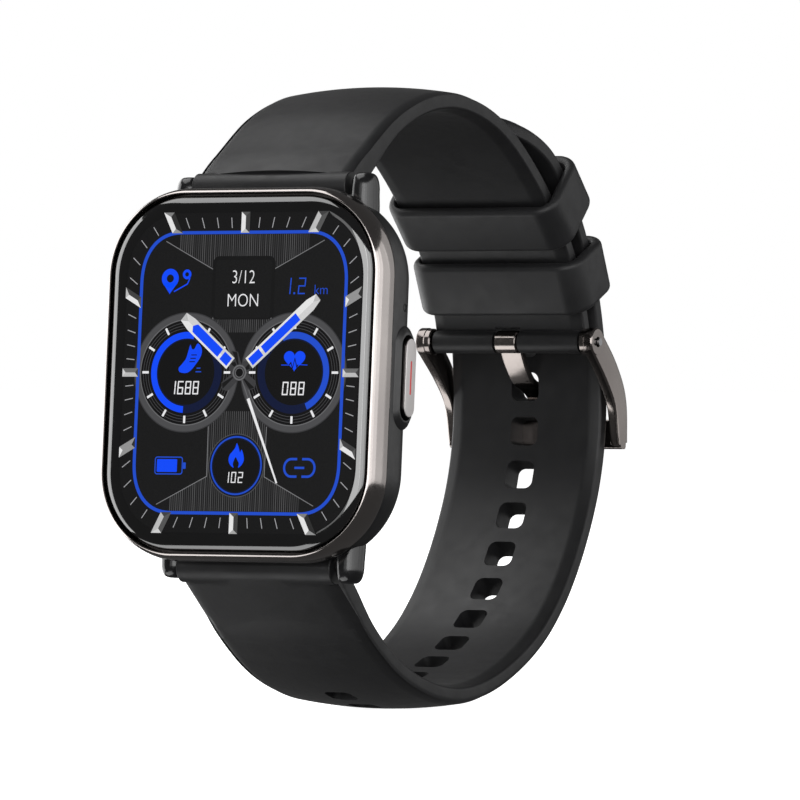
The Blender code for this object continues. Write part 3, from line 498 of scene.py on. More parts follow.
def boolean(obj, tools, operation="DIFFERENCE"):
    """Cuts closed lofts from the piece, or joins them to it, and applies the result to its mesh."""
    bm = bmesh.new()
    for rings in tools:
        add_rings(bm, rings)
    bmesh.ops.recalc_face_normals(bm, faces=bm.faces)
    bmesh.ops.transform(bm, matrix=TO_WORLD, verts=bm.verts)
    tool_mesh = bpy.data.meshes.new("tool")
    bm.to_mesh(tool_mesh)
    bm.free()
    tool = bpy.data.objects.new("tool", tool_mesh)
    scene.collection.objects.link(tool)
    modifier = obj.modifiers.new("cut", "BOOLEAN")
    modifier.operation = operation
    modifier.object = tool
    modifier.solver = "EXACT"
    bpy.context.view_layer.update()
    graph = bpy.context.evaluated_depsgraph_get()
    made = bpy.data.meshes.new_from_object(obj.evaluated_get(graph))
    obj.modifiers.remove(modifier)
    old = obj.data
    obj.data = made
    made.name = obj.name
    bpy.data.objects.remove(tool)
    for mesh in (old, tool_mesh):
        bpy.data.meshes.remove(mesh)


def reshade(obj, angle):
    """Smooth shading with sharp edges over the angle, after a cut."""
    obj.data.shade_smooth()
    obj.data.set_sharp_from_angle(angle=math.radians(angle))


def root_blend():
    """The lower band's outer face from the front of its spring-bar barrel down to the plain strap."""
    radius, end = 0.00194, Vector((0, 0.0060, -0.0330))
    path = []
    for step in range(9):
        angle = math.radians(176 + 57 * step / 8)
        path.append((Vector((0, BAR_Y + radius * math.cos(angle), -BAR_Z + radius * math.sin(angle))),
                     Vector((0, math.cos(angle), math.sin(angle)))))
    touch = path[-1][0]
    along = (end - touch).normalized()
    path += [(touch.lerp(end, step / 8), Vector((0, along.z, -along.y))) for step in range(1, 9)]
    rings = []
    for step, (point, out) in enumerate(path):
        t = step / (len(path) - 1)
        ring = []
        for column in range(21):
            share = column / 10 - 1
            drop = CROWN * t * share * share + 0.0004 * max(0.0, (abs(share) - 0.93) / 0.07) ** 2
            ring.append(point - out * drop + Vector((share * STRAP_HALF, 0, 0)))
        root_half = STRAP_HALF - 0.0002
        ring += [point - out * 0.0022 + Vector((x, 0, 0)) for x in (root_half, -root_half)]
        rings.append(ring)
    return rings


def hole_rings(route, s, turn):
    """The cutter for one buckle hole, which narrows a little towards the outer face."""
    base, out, along = route.point(s), route.outward(s, turn), route.tangent(s)
    rings = []
    for depth, scale in ((-0.0020, 1.06), (-0.0002, 1.0), (0.0050, 0.90)):
        half_x, half_s, radius = 0.0020 * scale, 0.0019 * scale, 0.0010 * scale
        outline = rounded(half_x, half_s, radius, radius, steps=6)
        rings.append([base + out * depth + Vector((x, 0, 0)) + along * t for x, t in outline])
    return rings


def barrel(end):
    """The round end of a band, about its spring bar."""
    half, radius, edge = STRAP_HALF, 0.0019, 0.0001
    profile = [(-half, radius - edge), (-half + edge, radius), (half - edge, radius), (half, radius - edge)]
    return turned((0, BAR_Y, end * BAR_Z), profile)


def upper_end(s):
    """(half width, side height, crown) of the upper band, which flattens towards the buckle."""
    near = max(0.0, 1 - (UPPER_ROUTE.length - s) / 0.006)
    return band_half(s), BAND_SIDE - 0.0002 * near, CROWN * (1 - 0.9 * near)


def lower_end(s):
    """(half width, side height, crown) of the lower band, which ends in a rounded tip."""
    left = LOWER_ROUTE.length - s
    half = band_half(s)
    tip = 0.0
    if left < half:
        tip = 1 - math.sqrt(max(0.0, 1 - (1 - left / half) ** 2))
    return half * (1 - 0.72 * tip), BAND_SIDE - 0.0004 * tip, CROWN * (1 - 0.5 * tip)


def build_straps():
    rings = strap_rings(UPPER_ROUTE, 1, upper_end, 120)
    upper = loft("upper_band", rings, SILICONE, "watch", ["strap_upper"], 40)
    boolean(upper, [barrel(1)], "UNION")
    tube_half, tube_radius = STRAP_HALF - 0.0002, 0.0015
    tube = turned((0, PIN_Y, PIN_Z), [(-tube_half, tube_radius), (tube_half, tube_radius)], steps=40)
    boolean(upper, [tube], "UNION")
    # The notch for the buckle's tongue
    notch, near, far = 0.00185, -0.0030, 0.0060
    corners = ((-notch, near), (notch, near), (notch, far), (-notch, far))
    boolean(upper, [[[Vector((x, PIN_Y + y, PIN_Z + z)) for x, y in corners] for z in (-0.0035, 0.0019)]])
    reshade(upper, 40)

    rings = strap_rings(LOWER_ROUTE, -1, lower_end, 220)
    lower = loft("lower_band", rings, SILICONE, "watch", ["strap_lower"], 40)
    boolean(lower, [barrel(-1)], "UNION")
    boolean(lower, [root_blend()], "UNION")
    tongue_hole, pitch = LOWER_ROUTE.nearest(0.0667, 0.0044), 0.0060
    holes = [hole_rings(LOWER_ROUTE, tongue_hole + i * pitch, -1) for i in range(-12, 4)]
    boolean(lower, holes)
    reshade(lower, 40)


def keeper_ring(base, out, half_x, low, high, radius):
    """One ring round the bands, from low to high along the outward direction."""
    middle, half_u = (low + high) / 2, (high - low) / 2
    outline = rounded(half_x, half_u, radius, radius, steps=12)
    return [base + Vector((x, 0, 0)) + out * (middle + u) for x, u in outline]


def build_keepers():
    inner_half, low = STRAP_HALF + 0.00045, -0.00095
    wall, half_length, edge, outer_extra, bevel = 0.00125, 0.00365, 0.0008, 0.0006, 0.0002
    outside = [(-half_length + edge * (1 - c), wall - edge * (1 - s)) for s, c in quarter(6)]
    outside += [(half_length - edge * (1 - s), wall - edge * (1 - c)) for s, c in quarter(6)]
    straight = half_length - bevel
    inside = ((half_length, bevel), (straight, 0.0), (-straight, 0.0), (-half_length, bevel))
    for name, node, body, spot, top in (
        ("free_loop", "keeper_free", "free_keeper", (0.0521, 0.0254), 0.0073),
        ("fixed_loop", "keeper_fixed", "watch", (0.0586, 0.0174), 0.0066),
    ):
        s = UPPER_ROUTE.nearest(*spot)
        base, out, along = UPPER_ROUTE.point(s), UPPER_ROUTE.outward(s, 1), UPPER_ROUTE.tangent(s)
        rings = [
            keeper_ring(base + along * offset, out, inner_half + w, low - w, top + w + extra, radius + w)
            for profile, extra, radius in ((outside, outer_extra, 0.0019), (inside, 0.0, 0.0012))
            for offset, w in profile
        ]
        loft(name, rings, KEEPER_SILICONE, body, [node], 50, closed=True)


# ---------------------------------------------------------------- buckle


def bar_section(low_a, high_a, low_b, high_b, start, corner, steps=4):
    """A rounded rectangle that starts at the given b on its low_a side and runs by low_b first."""
    corners = [(low_a, low_b), (high_a, low_b), (high_a, high_b), (low_a, high_b)]
    return arc_profile([(low_a, start), *corners, (low_a, start)], corner, steps)[:-1]


def arm_rings(line, side, arm_inner, arm_outer):
    """One side arm of the buckle: a flat bar that swells a little and narrows to the crossbar."""
    rings = []
    for step in range(33):
        share = step / 32
        s = line.length * share
        half = 0.00188 + 0.00030 * math.sin(math.pi * share) - 0.0006 * share
        inward = 0.0
        if side < 0:
            half *= 1 - 0.25 * share
            inward = 0.0005 * math.sin(math.pi / 2 * share)
        point, across = line.point(s), line.outward(s, 1)
        section = bar_section(arm_inner, arm_outer, -half, half, 0, 0.00035)
        rings.append([point + across * w + Vector((side * (x - inward), 0, 0)) for x, w in section])
    return rings


def tongue_rings():
    """The tongue: a flat strip from the pin through a strap hole and over the crossbar."""
    line = Route([
        (0.0619, 0.0092), (0.0637, 0.0068), (0.0657, 0.0051), (0.0680, 0.0044), (0.0700, 0.0034),
        (0.0713, 0.0015), (0.0719, -0.0012), (0.0719, -0.0046),
    ])
    rings = []
    for step in range(49):
        share = step / 48
        s = line.length * share
        point, across = line.point(s), line.outward(s, 1)
        half_x, half_t = 0.00162 - 0.0001 * share, 0.0005 * (1 - 0.25 * share)
        if share > 0.96:
            half_x, half_t = half_x * 0.8, half_t * 0.7
        section = bar_section(half_x, -half_x, half_t, -half_t, 0, 0.0003)
        rings.append([point + across * w + Vector((x, 0, 0)) for x, w in section])
    return rings


def build_buckle():
    metal = polished_metal("buckle_gunmetal", srgb(128, 121, 118), srgb(148, 141, 137), 0.18)
    pivot = (0, PIN_Y, PIN_Z)
    arm_inner, arm_outer = 0.0118, 0.0132
    line = Route([(PIN_Y, PIN_Z), (0.0657, 0.0062), (0.0686, 0.0025), (0.0698, -0.0029)])
    bow = loft("buckle_bow", arm_rings(line, 1, arm_inner, arm_outer), metal, "buckle",
               ["buckle_frame"], 40)
    boolean(bow, [arm_rings(line, -1, arm_inner, arm_outer)], "UNION")
    rear, front, foot, head = 0.0696, 0.07105, -0.0036, 0.0003
    section = bar_section(rear, front, foot, head, -0.0022, 0.0005, 5)
    bar_half = arm_outer - 0.0003
    boolean(bow, [[[Vector((x, y, z)) for y, z in section] for x in (-bar_half, bar_half)]], "UNION")
    knuckle = [(0.01115, 0.0016), (0.0113, 0.0018), (arm_inner + 0.0004, 0.0018)]
    disc = [(arm_inner + 0.00001, 0.00170), (arm_inner + 0.0002, 0.00189), (arm_outer - 0.0002, 0.00189),
            (arm_outer - 0.0001, 0.00185), (arm_outer + 0.00002, 0.0017)]
    for side in (1, -1):
        boolean(bow, [turned(pivot, knuckle, side, 40)], "UNION")
        boolean(bow, [turned(pivot, disc, side, 40)], "UNION")
    boolean(bow, [turned(pivot, [(-0.015, 0.0007), (0.015, 0.0007)], steps=24)])
    reshade(bow, 35)

    tongue = loft("tongue_bar", tongue_rings(), metal, "tongue", ["buckle_tongue"], 40)
    eye = [(-0.00160, 0.0013), (-0.00145, 0.0015), (0.00145, 0.0015), (0.00160, 0.0013)]
    boolean(tongue, [turned(pivot, eye, steps=40)], "UNION")
    boolean(tongue, [turned(pivot, [(-0.002, 0.0006), (0.002, 0.0006)], steps=24)])
    reshade(tongue, 35)


# ---------------------------------------------------------------- dial

DIAL_X = 0.55  # the artwork's centre, in millimetres
LAYER = 0.002  # depth between layers of the artwork, in millimetres
BLUE = glowing("screen_blue", srgb(0, 72, 250), 0.05)
BLUE_LINE = glowing("screen_blue_line", srgb(26, 76, 205))
NAVY = glowing("screen_navy", srgb(0, 14, 52))
WHITE = glowing("screen_white", srgb(236, 236, 238))
TICK = glowing("screen_tick", srgb(165, 165, 168))
THREAD = glowing("screen_thread", srgb(122, 122, 124))
RIM_GREY = glowing("screen_rim_grey", srgb(74, 74, 76))
SCREEN_BLACK = glowing("screen_black", srgb(2, 2, 3))
FIELD = glowing("screen_field", srgb(18, 18, 19), 0.6)
HUB_GREY = glowing("screen_hub_grey", srgb(60, 60, 62), 0.2)
HUB_LIGHT = glowing("screen_hub_light", srgb(104, 104, 106))


def clock(degrees):
    """The unit direction at a clock angle, clockwise from twelve."""
    angle = math.radians(degrees)
    return Vector((math.sin(angle), math.cos(angle)))


class Art:
    """Flat shapes on the dial, in millimetres from its centre, sorted by material."""

    def __init__(self):
        self.meshes = {}

    def shape(self, mat, layer, points):
        """One flat face, turned to look out of the dial."""
        if mat not in self.meshes:
            self.meshes[mat] = bmesh.new()
        bm = self.meshes[mat]
        y = GLASS_FRONT - layer * LAYER * MM
        face = bm.faces.new([bm.verts.new(((DIAL_X + x) * MM, y, z * MM)) for x, z in points])
        face.normal_update()
        if face.normal.y > 0:
            face.normal_flip()

    def band(self, mat, layer, outer, inner, closed=True):
        """The strip between two outlines of equal length."""
        count = len(outer)
        for i in range(count if closed else count - 1):
            j = (i + 1) % count
            self.shape(mat, layer, [outer[i], outer[j], inner[j], inner[i]])

    def ring(self, mat, layer, center, outer, inner, start=0.0, end=360.0, steps=72):
        """Part of a ring; angles are clockwise from twelve o'clock."""
        count = max(2, round(steps * abs(end - start) / 360))
        spokes = [clock(start + (end - start) * i / count) for i in range(count + 1)]
        edges = [[Vector(center) + spoke * radius for spoke in spokes] for radius in (outer, inner)]
        self.band(mat, layer, *edges, closed=False)

    def disc(self, mat, layer, center, radius, steps=64):
        self.shape(mat, layer, [Vector(center) + clock(360 * i / steps) * radius for i in range(steps)])

    def stroke(self, mat, layer, a, b, width, end_width=None):
        """A straight line that may narrow towards its end."""
        a, b = Vector(a), Vector(b)
        side = Vector((-(b - a).y, (b - a).x)).normalized() / 2
        first, last = side * width, side * (end_width or width)
        self.shape(mat, layer, [a + first, b + last, b - last, a - first])

    def path(self, mat, layer, points, width, closed=False):
        """A line of even width with mitred joints."""
        points = [Vector(p) for p in points]
        count = len(points)
        left, right = [], []
        for i, p in enumerate(points):
            before = points[i - 1] if closed or i else p
            after = points[(i + 1) % count] if closed or i < count - 1 else p
            first = (p - before).normalized() if (p - before).length > 1e-9 else (after - p).normalized()
            second = (after - p).normalized() if (after - p).length > 1e-9 else first
            mean = (first + second).normalized()
            side = Vector((-mean.y, mean.x))
            reach = width / 2 / max(0.4, side.dot(Vector((-first.y, first.x))))
            left.append(p + side * reach)
            right.append(p - side * reach)
        self.band(mat, layer, left, right, closed)

    def segments(self, mat, layer, text, left, base, height, pitch, weight=0.16, lean=0.06):
        """Seven-segment digits that lean a little."""
        shown = {"0": "abcdef", "1": "bc", "2": "abged", "6": "acdefg", "8": "abcdefg"}
        width, middle, top, gap = height * 0.5, height / 2, height, weight * 0.12
        low, high = weight / 2, top - weight / 2
        near, far = weight / 2, width - weight / 2
        bars = {
            "a": (0, high, width, high), "g": (0, middle, width, middle), "d": (0, low, width, low),
            "f": (near, middle, near, top), "e": (near, 0, near, middle),
            "b": (far, middle, far, top), "c": (far, 0, far, middle),
        }
        x = left
        for char in text:
            for key in shown[char]:
                ax, az, bx, bz = bars[key]
                cut_x, cut_z = (0, gap) if ax == bx else (gap, 0)
                start = (x + ax + cut_x + lean * az, base + az + cut_z)
                end = (x + bx - cut_x + lean * bz, base + bz - cut_z)
                self.stroke(mat, layer, start, end, weight)
            x += pitch

    def text(self, mat, layer, words, center, height, squeeze=1.0):
        """Plain lettering, from the built-in font, turned into flat shapes."""
        curve = bpy.data.curves.new("words", "FONT")
        curve.body = words
        curve.align_x = "CENTER"
        curve.resolution_u = 4
        curve.offset = -0.012
        obj = bpy.data.objects.new("words", curve)
        scene.collection.objects.link(obj)
        bpy.context.view_layer.update()
        mesh = bpy.data.meshes.new_from_object(obj.evaluated_get(bpy.context.evaluated_depsgraph_get()))
        low = min(v.co.y for v in mesh.vertices)
        tall = max(v.co.y for v in mesh.vertices) - low
        scale = height / tall
        points = [
            (center[0] + v.co.x * scale * squeeze, center[1] + (v.co.y - low) * scale) for v in mesh.vertices
        ]
        for polygon in mesh.polygons:
            self.shape(mat, layer, [points[i] for i in polygon.vertices])
        bpy.data.objects.remove(obj)
        bpy.data.curves.remove(curve)
        bpy.data.meshes.remove(mesh)

    def place(self):
        """Each material's shapes become one piece on the watch."""
        for mat, bm in self.meshes.items():
            bmesh.ops.transform(bm, matrix=TO_WORLD, verts=bm.verts)
            mesh = bpy.data.meshes.new(mat.name)
            bm.to_mesh(mesh)
            bm.free()
            mesh.materials.append(mat)
            obj = bpy.data.objects.new("dial_" + mat.name, mesh)
            scene.collection.objects.link(obj)
            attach(obj, "watch")


def reach(outline, degrees):
    """Where the ray from the centre at a clock angle leaves the outline."""
    d = clock(degrees)
    for p, q in zip(outline, outline[1:] + outline[:1]):
        p, q = Vector(p), Vector(q)
        e = q - p
        cross = d.x * e.y - d.y * e.x
        if abs(cross) < 1e-9:
            continue
        along = (p.x * e.y - p.y * e.x) / cross
        share = (p.x * d.y - p.y * d.x) / cross
        if along > 0 and -1e-6 <= share <= 1 + 1e-6:
            return d * along
    return d


def silver(level):
    """One of a few lit levels of the drawn silver facets."""
    level = round(max(0.2, min(0.95, level)) * 12) / 12
    name = f"screen_silver_{round(level * 100)}"
    found = bpy.data.materials.get(name)
    v = 255 * level
    return found or glowing(name, srgb(v, v, v), 0.12)


def facet_level(normal):
    light = Vector((-0.87, -0.49))
    return 0.58 + 0.38 * Vector(normal).normalized().dot(light)


def baton(art, layer, outer, inner, width, flat):
    """A faceted hour baton from outer to inner; flat is 'x' or 'z', the way its cut ends run."""
    outer, inner = Vector(outer), Vector(inner)
    axis = (outer - inner).normalized()
    cut = Vector((1, 0)) if flat == "x" else Vector((0, 1))
    if cut.x * axis.y - cut.y * axis.x < 0:
        cut = -cut
    half = cut * width / 2
    tip = width * 0.42
    ridge_out, ridge_in = outer - axis * tip, inner + axis * tip
    corners = (outer + half, outer - half, inner - half, inner + half)
    right = Vector((axis.y, -axis.x))
    side_a = 1 if half.dot(right) > 0 else -1
    art.shape(silver(facet_level(right * side_a)), layer, [corners[0], ridge_out, ridge_in, corners[3]])
    art.shape(silver(facet_level(-right * side_a)), layer, [corners[1], corners[2], ridge_in, ridge_out])
    art.shape(silver(facet_level(axis) * 0.92), layer, [corners[0], corners[1], ridge_out])
    art.shape(silver(facet_level(-axis) * 0.95), layer, [corners[3], ridge_in, corners[2]])


def hand(art, layer, degrees, length, start, half_width, tip_width, inlays):
    """A faceted hand: two silver halves, a chisel tip and blue inlays between distances from the hub."""
    axis = clock(degrees)
    right = Vector((axis.y, -axis.x))

    def at(along, across):
        return axis * along + right * across

    shoulder, middle = length - 1.5, [at(length - 0.1, 0), at(start, 0)]
    left = [at(start, -half_width), at(shoulder, -half_width), at(length, -tip_width)]
    art.shape(silver(0.96), layer, left + middle)
    right_edge = [at(length, tip_width), at(shoulder, half_width), at(start, half_width)]
    art.shape(silver(0.84), layer, middle[::-1] + right_edge)
    art.shape(silver(0.78), layer + 1, [at(length, -tip_width), at(length - 0.9, 0), at(length, tip_width)])
    inner = half_width - 0.27
    for low, high in inlays:
        points = [at(low, -inner), at(high, -inner), at(high + 0.45, 0), at(high, inner), at(low, inner)]
        if high < length - 3:
            points.pop(2)
        art.shape(BLUE, layer + 2, points)


def build_dial():
    art = Art()
    art.shape(SCREEN_BLACK, 1, rounded(16.9, 20.15, 8.2, 8.6, 2.1))
    bezel_zone = glowing("screen_track", srgb(12, 12, 13), 0.5)
    art.shape(bezel_zone, 2, rounded(16.7, 19.9, 7.9, 8.3, 2.15))
    line_out, line_in = rounded(14.82, 17.65, 5.8, 6.6, 2.3), rounded(14.38, 17.25, 5.4, 6.2, 2.3)
    art.shape(FIELD, 3, line_out)
    build_stripes(art)
    for sx in (1, -1):
        for line in (((11.3, 16.4), (4.35, 12.85), (4.15, 12.5), (4.15, 6.6)),
                     ((4.15, -6.7), (4.1, -12.9), (11.2, -16.45))):
            art.path(THREAD, 6, [(sx * x, z) for x, z in line], 0.10)
    build_date(art)
    for sx in (1, -1):
        build_subdial(art, sx)
    small = (0.05, -11.53)
    art.disc(RIM_GREY, 9, small, 3.98)
    art.disc(SCREEN_BLACK, 10, small, 3.86)
    art.ring(NAVY, 11, small, 3.78, 3.3)
    art.ring(BLUE_LINE, 12, small, 3.66, 3.46)
    art.band(BLUE_LINE, 13, line_out, line_in)

    outer_track, inner_track = rounded(16.35, 19.3, 7.2, 7.9, 2.2), rounded(15.2, 18.0, 6.2, 6.9, 2.25)
    for minute in range(60):
        if minute % 5:
            art.stroke(TICK, 14, reach(inner_track, minute * 6), reach(outer_track, minute * 6), 0.11)
    for sz in (1, -1):
        baton(art, 15, (0, sz * 20.0), (0, sz * 17.4), 1.22, "x")
        for sx in (1, -1):
            baton(art, 15, (sx * 11.03, sz * 20.0), (sx * 9.7, sz * 17.4), 1.5, "x")
            baton(art, 15, (sx * 16.85, sz * 10.0), (sx * 14.6, sz * 8.75), 1.35, "z")
    for sx in (1, -1):
        baton(art, 15, (sx * 16.85, 0), (sx * 14.6, 0), 1.05, "z")
    build_icons(art)
    build_hands(art)
    art.place()


def build_stripes(art):
    """Fine upright pinstripes in a waisted centre column, over a darker ground."""
    ground = glowing("screen_stripe_ground", srgb(19, 19, 20))
    tones = [glowing(f"screen_stripe_{v}", srgb(v, v, v + 1)) for v in (58, 66, 74, 84)]
    above = [(4.15, 5.0), (4.15, 12.5), (4.35, 12.85), (9.3, 15.4), (9.3, 17.2)]
    below = [(4.15, -4.8), (4.1, -12.9), (9.3, -15.5), (9.3, -17.2)]
    for half in (above, below):
        art.shape(ground, 4, half + [(-x, z) for x, z in reversed(half)])
    random = np.random.default_rng(7)
    x = -9.2
    while x < 9.25:
        tone = tones[int(random.integers(0, len(tones)))]
        side = abs(x)
        low_top = 5.0 if side < 4.1 else 12.95 + (side - 4.3) * 0.51
        art.stroke(tone, 5, (x, low_top), (x, 17.2), 0.10)
        high_bottom = -4.8 if side < 4.05 else -13.0 - (side - 4.2) * 0.50
        art.stroke(tone, 5, (x, high_bottom), (x, -17.2), 0.10)
        x += 0.29


def build_date(art):
    shade = glowing("screen_date_shade", srgb(8, 8, 9))
    art.shape(shade, 7, panel(0.02, 10.55, 4.45, 3.95, 0.9))
    art.shape(FIELD, 8, panel(0.02, 10.4, 4.0, 3.6, 0.5))
    art.text(WHITE, 9, "3/12", (0.0, 11.1), 1.62, 0.80)
    art.text(WHITE, 9, "MON", (0.05, 8.22), 1.58, 0.84)


def panel(x, z, half_x, half_z, radius):
    """A rounded rectangle about (x, z)."""
    return [(x + px, z + pz) for px, pz in rounded(half_x, half_z, radius, radius, steps=6)]


def build_subdial(art, sx):
    """One of the two round counters, with its twelve marks, level ring and digits."""
    center = (sx * 7.65, 0.02)
    art.ring(RIM_GREY, 7, center, 7.5, 6.62, steps=120)
    dark = glowing(f"screen_rim_dark_{sx + 1}", srgb(52, 52, 54))
    art.ring(dark, 8, center, 7.5, 7.36, steps=120)
    art.disc(SCREEN_BLACK, 9, center, 6.62, 96)
    art.ring(HUB_LIGHT, 10, center, 6.64, 6.52, steps=120)
    for radius in (6.2, 5.85, 5.5):
        art.ring(RIM_GREY, 10, center, radius, radius - 0.06, steps=96)
    for degrees in range(0, 360, 30):
        spoke = clock(degrees)
        art.stroke(WHITE, 11, Vector(center) + spoke * 5.4, Vector(center) + spoke * 6.32, 0.30)
    art.ring(NAVY, 12, center, 5.1, 4.05, steps=96)
    if sx < 0:
        art.ring(BLUE, 13, center, 5.05, 4.22, 183, 372, steps=96)
        art.segments(WHITE, 14, "1688", -9.95, -2.72, 1.66, 1.10)
    else:
        art.ring(BLUE_LINE, 13, center, 5.05, 4.22, -22, 155, steps=96)
        art.segments(WHITE, 14, "088", 6.12, -2.78, 1.66, 1.14)


def build_icons(art):
    # Location pins, one large with a winding tail to a small one
    pin = (-10.5, 11.75)
    art.ring(BLUE, 16, pin, 1.22, 0.50, steps=40)
    point = ((-1.12, -0.48), (-0.55, -0.55), (0.55, -0.55), (1.12, -0.48), (0, -1.95))
    art.shape(BLUE, 16, [(pin[0] + x, pin[1] + z) for x, z in point])
    art.ring(BLUE, 16, (-8.1, 12.25), 0.62, 0.27, steps=32)
    art.path(BLUE, 16, [(-7.66, 11.8), (-8.0, 11.05), (-9.0, 10.55), (-9.9, 10.1)], 0.16)
    # Distance
    foot, dot = 9.72, 0.24
    art.segments(BLUE_LINE, 16, "1", 5.75, foot, 2.05, 1.2)
    art.shape(BLUE_LINE, 16, [(7.20, foot), (7.20 + dot, foot), (7.20 + dot, foot + dot), (7.20, foot + dot)])
    art.segments(BLUE_LINE, 16, "2", 7.80, foot, 2.05, 1.2)
    art.text(BLUE_LINE, 16, "km", (11.1, foot), 1.15, 0.95)
    # Battery
    box = panel(-9.6, -11.6, 1.95, 1.05, 0.3)
    art.path(BLUE_LINE, 16, box, 0.14, True)
    art.shape(BLUE, 16, panel(-9.85, -11.6, 1.45, 0.80, 0.12))
    art.shape(BLUE_LINE, 16, panel(-7.35, -11.6, 0.2, 0.40, 0.1))
    # Link: two open loops and a bar
    link_x, link_z, link_half = 9.05, -11.75, 1.08
    for side in (1, -1):
        end_x = link_x + side * 0.35
        arc = [math.pi * i / 16 for i in range(17)]
        loop = [(link_x + side * (1.15 + math.sin(a)), link_z + link_half * math.cos(a)) for a in arc]
        art.path(BLUE_LINE, 16, [(end_x, link_z + link_half), *loop, (end_x, link_z - link_half)], 0.30)
    art.stroke(BLUE_LINE, 16, (8.35, link_z), (9.75, link_z), 0.28)
    # Heart with a pulse line
    heart = []
    for i in range(48):
        t = 2 * math.pi * i / 48
        x = math.sin(t) ** 3
        z = (13 * math.cos(t) - 5 * math.cos(2 * t) - 2 * math.cos(3 * t) - math.cos(4 * t)) / 16
        heart.append((7.75 + 1.52 * x, 1.62 + 1.42 * z))
    art.shape(BLUE, 16, heart)
    pulse = [(5.9, 0.95), (7.0, 0.95), (7.25, 1.25), (7.5, 0.55), (7.8, 1.75), (8.1, 0.7), (8.3, 1.0),
             (9.6, 0.95)]
    art.path(SCREEN_BLACK, 18, pulse[1:-1], 0.14)
    art.path(BLUE, 17, pulse, 0.10)
    # Shoe: a boot sole that leans forward
    shoe = [
        (-8.55, 0.05), (-8.75, 0.55), (-8.3, 1.05), (-7.75, 1.75), (-7.45, 2.7), (-7.2, 3.45), (-6.95, 2.95),
        (-6.6, 2.95), (-6.2, 3.6), (-5.75, 3.35), (-5.5, 2.7), (-5.7, 1.9), (-6.3, 1.05), (-6.9, 0.35),
        (-7.6, -0.05),
    ]
    art.shape(BLUE, 16, smooth_loop(shoe))
    for i in range(3):
        lace = Vector((-7.25 + i * 0.12, 1.35 + i * 0.42))
        art.stroke(SCREEN_BLACK, 17, lace, lace + Vector((0.8, 0)), 0.12)
    for i, width in enumerate((0.55, 0.8)):
        z = 0.55 - i * 0.45
        art.stroke(BLUE_LINE, 17, (-5.9 - width / 2, z), (-5.9 + width / 2, z), 0.14)
    # Flame
    flame = [
        (0.05, -8.75), (0.35, -9.35), (0.55, -9.9), (0.75, -9.55), (1.05, -10.2), (1.12, -10.9), (0.8, -11.5),
        (0.35, -11.8), (0.45, -11.3), (0.2, -10.85), (-0.05, -10.5), (-0.3, -10.95), (-0.42, -11.35),
        (-0.3, -11.8), (-0.8, -11.45), (-1.05, -10.85), (-0.9, -10.2), (-0.5, -9.75), (-0.15, -9.3),
    ]
    art.shape(BLUE, 16, smooth_loop(flame, 4))
    art.segments(WHITE, 16, "102", -1.60, -13.68, 1.36, 0.98, 0.13)


def smooth_loop(points, steps=5):
    """A closed smooth curve through the points."""
    result = []
    count = len(points)
    for i in range(count):
        knots = [Vector(points[(i + k) % count]) for k in (-1, 0, 1, 2)]
        result += [spline(*knots, step / steps) for step in range(steps)]
    return result


def build_hands(art):
    hour, minute, second = -50.0, 49.0, 156.6
    shadow = glowing("screen_shadow", srgb(14, 14, 15))
    tails = ((hour + 180, 3.0), (minute + 180, 3.2), (hour, 1.9), (minute, 1.9), (second + 180, 3.0))
    for degrees, length in tails:
        d = clock(degrees)
        side, shoulder = Vector((d.y, -d.x)), d * (length - 0.5)
        outline = [side * 0.55, side * 0.72 + shoulder, d * length, side * -0.72 + shoulder, side * -0.55]
        art.shape(HUB_GREY, 19, outline)
        art.shape(shadow, 20, [d * 0.2, side * 0.60 + shoulder, d * (length - 0.12), side * 0.1 + d * 0.3])
    hand(art, 21, hour, 10.85, 1.75, 0.88, 0.62, [(2.0, 3.35), (3.75, 8.6)])
    hand(art, 24, minute, 14.25, 1.75, 0.82, 0.50, [(2.0, 3.9), (4.3, 10.6)])
    d = clock(second)
    art.stroke(HUB_LIGHT, 27, d * 0.8, d * 3.6, 0.12)
    art.stroke(WHITE, 28, d * 3.5, d * 14.9, 0.42, 0.22)
    art.disc(HUB_GREY, 29, (0, 0), 1.02, 40)
    art.ring(HUB_LIGHT, 30, (0, 0), 0.98, 0.78, steps=40)
    art.disc(SCREEN_BLACK, 31, (0, 0), 0.60, 32)
    art.ring(HUB_LIGHT, 32, (0, 0), 0.62, 0.52, steps=32)


# ---------------------------------------------------------------- the frame's own nodes


def dress_nodes():
    """Materials for the CAD pieces that stay in view or inside."""
    steel = polished_metal("bar_steel", srgb(150, 150, 152), srgb(172, 172, 174), 0.25)
    gold = polished_metal("gold_plate", srgb(205, 165, 92), srgb(222, 184, 112), 0.25)
    rules = {
        BODY_PLASTIC: ["back_cover"],
        plastic("sensor_gloss", srgb(10, 10, 12), srgb(16, 16, 18), 0.08, 0.0005): ["sensor_window"],
        plastic("solder_mask", srgb(18, 70, 44), srgb(24, 84, 54), 0.45): ["sensor_board", "main_board"],
        polished_metal("tin_plate", srgb(176, 176, 172), srgb(196, 196, 190), 0.32):
            ["shield_can", "vibration_motor_can", "microphone"],
        polished_metal("battery_foil", srgb(160, 160, 164), srgb(182, 182, 186), 0.42): ["battery"],
        plastic("amber_film", srgb(150, 84, 22), srgb(176, 102, 32), 0.35): ["display_flex", "button_flex"],
        plastic("dull_black", srgb(24, 24, 24), srgb(34, 34, 34), 0.65, 0.006):
            ["display_panel", "glass_adhesive", "speaker", "button_seal", "button_switch"],
        polished_metal("tungsten", srgb(120, 120, 122), srgb(140, 140, 142), 0.40): ["vibration_weight"],
        gold: ["charge_contact_left", "charge_contact_right"],
    }
    chosen = {name: mat for mat, names in rules.items() for name in names}
    for name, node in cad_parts.items():
        node.data.materials.clear()
        node.data.materials.append(chosen.get(name, steel))



# ---------------------------------------------------------------- studio


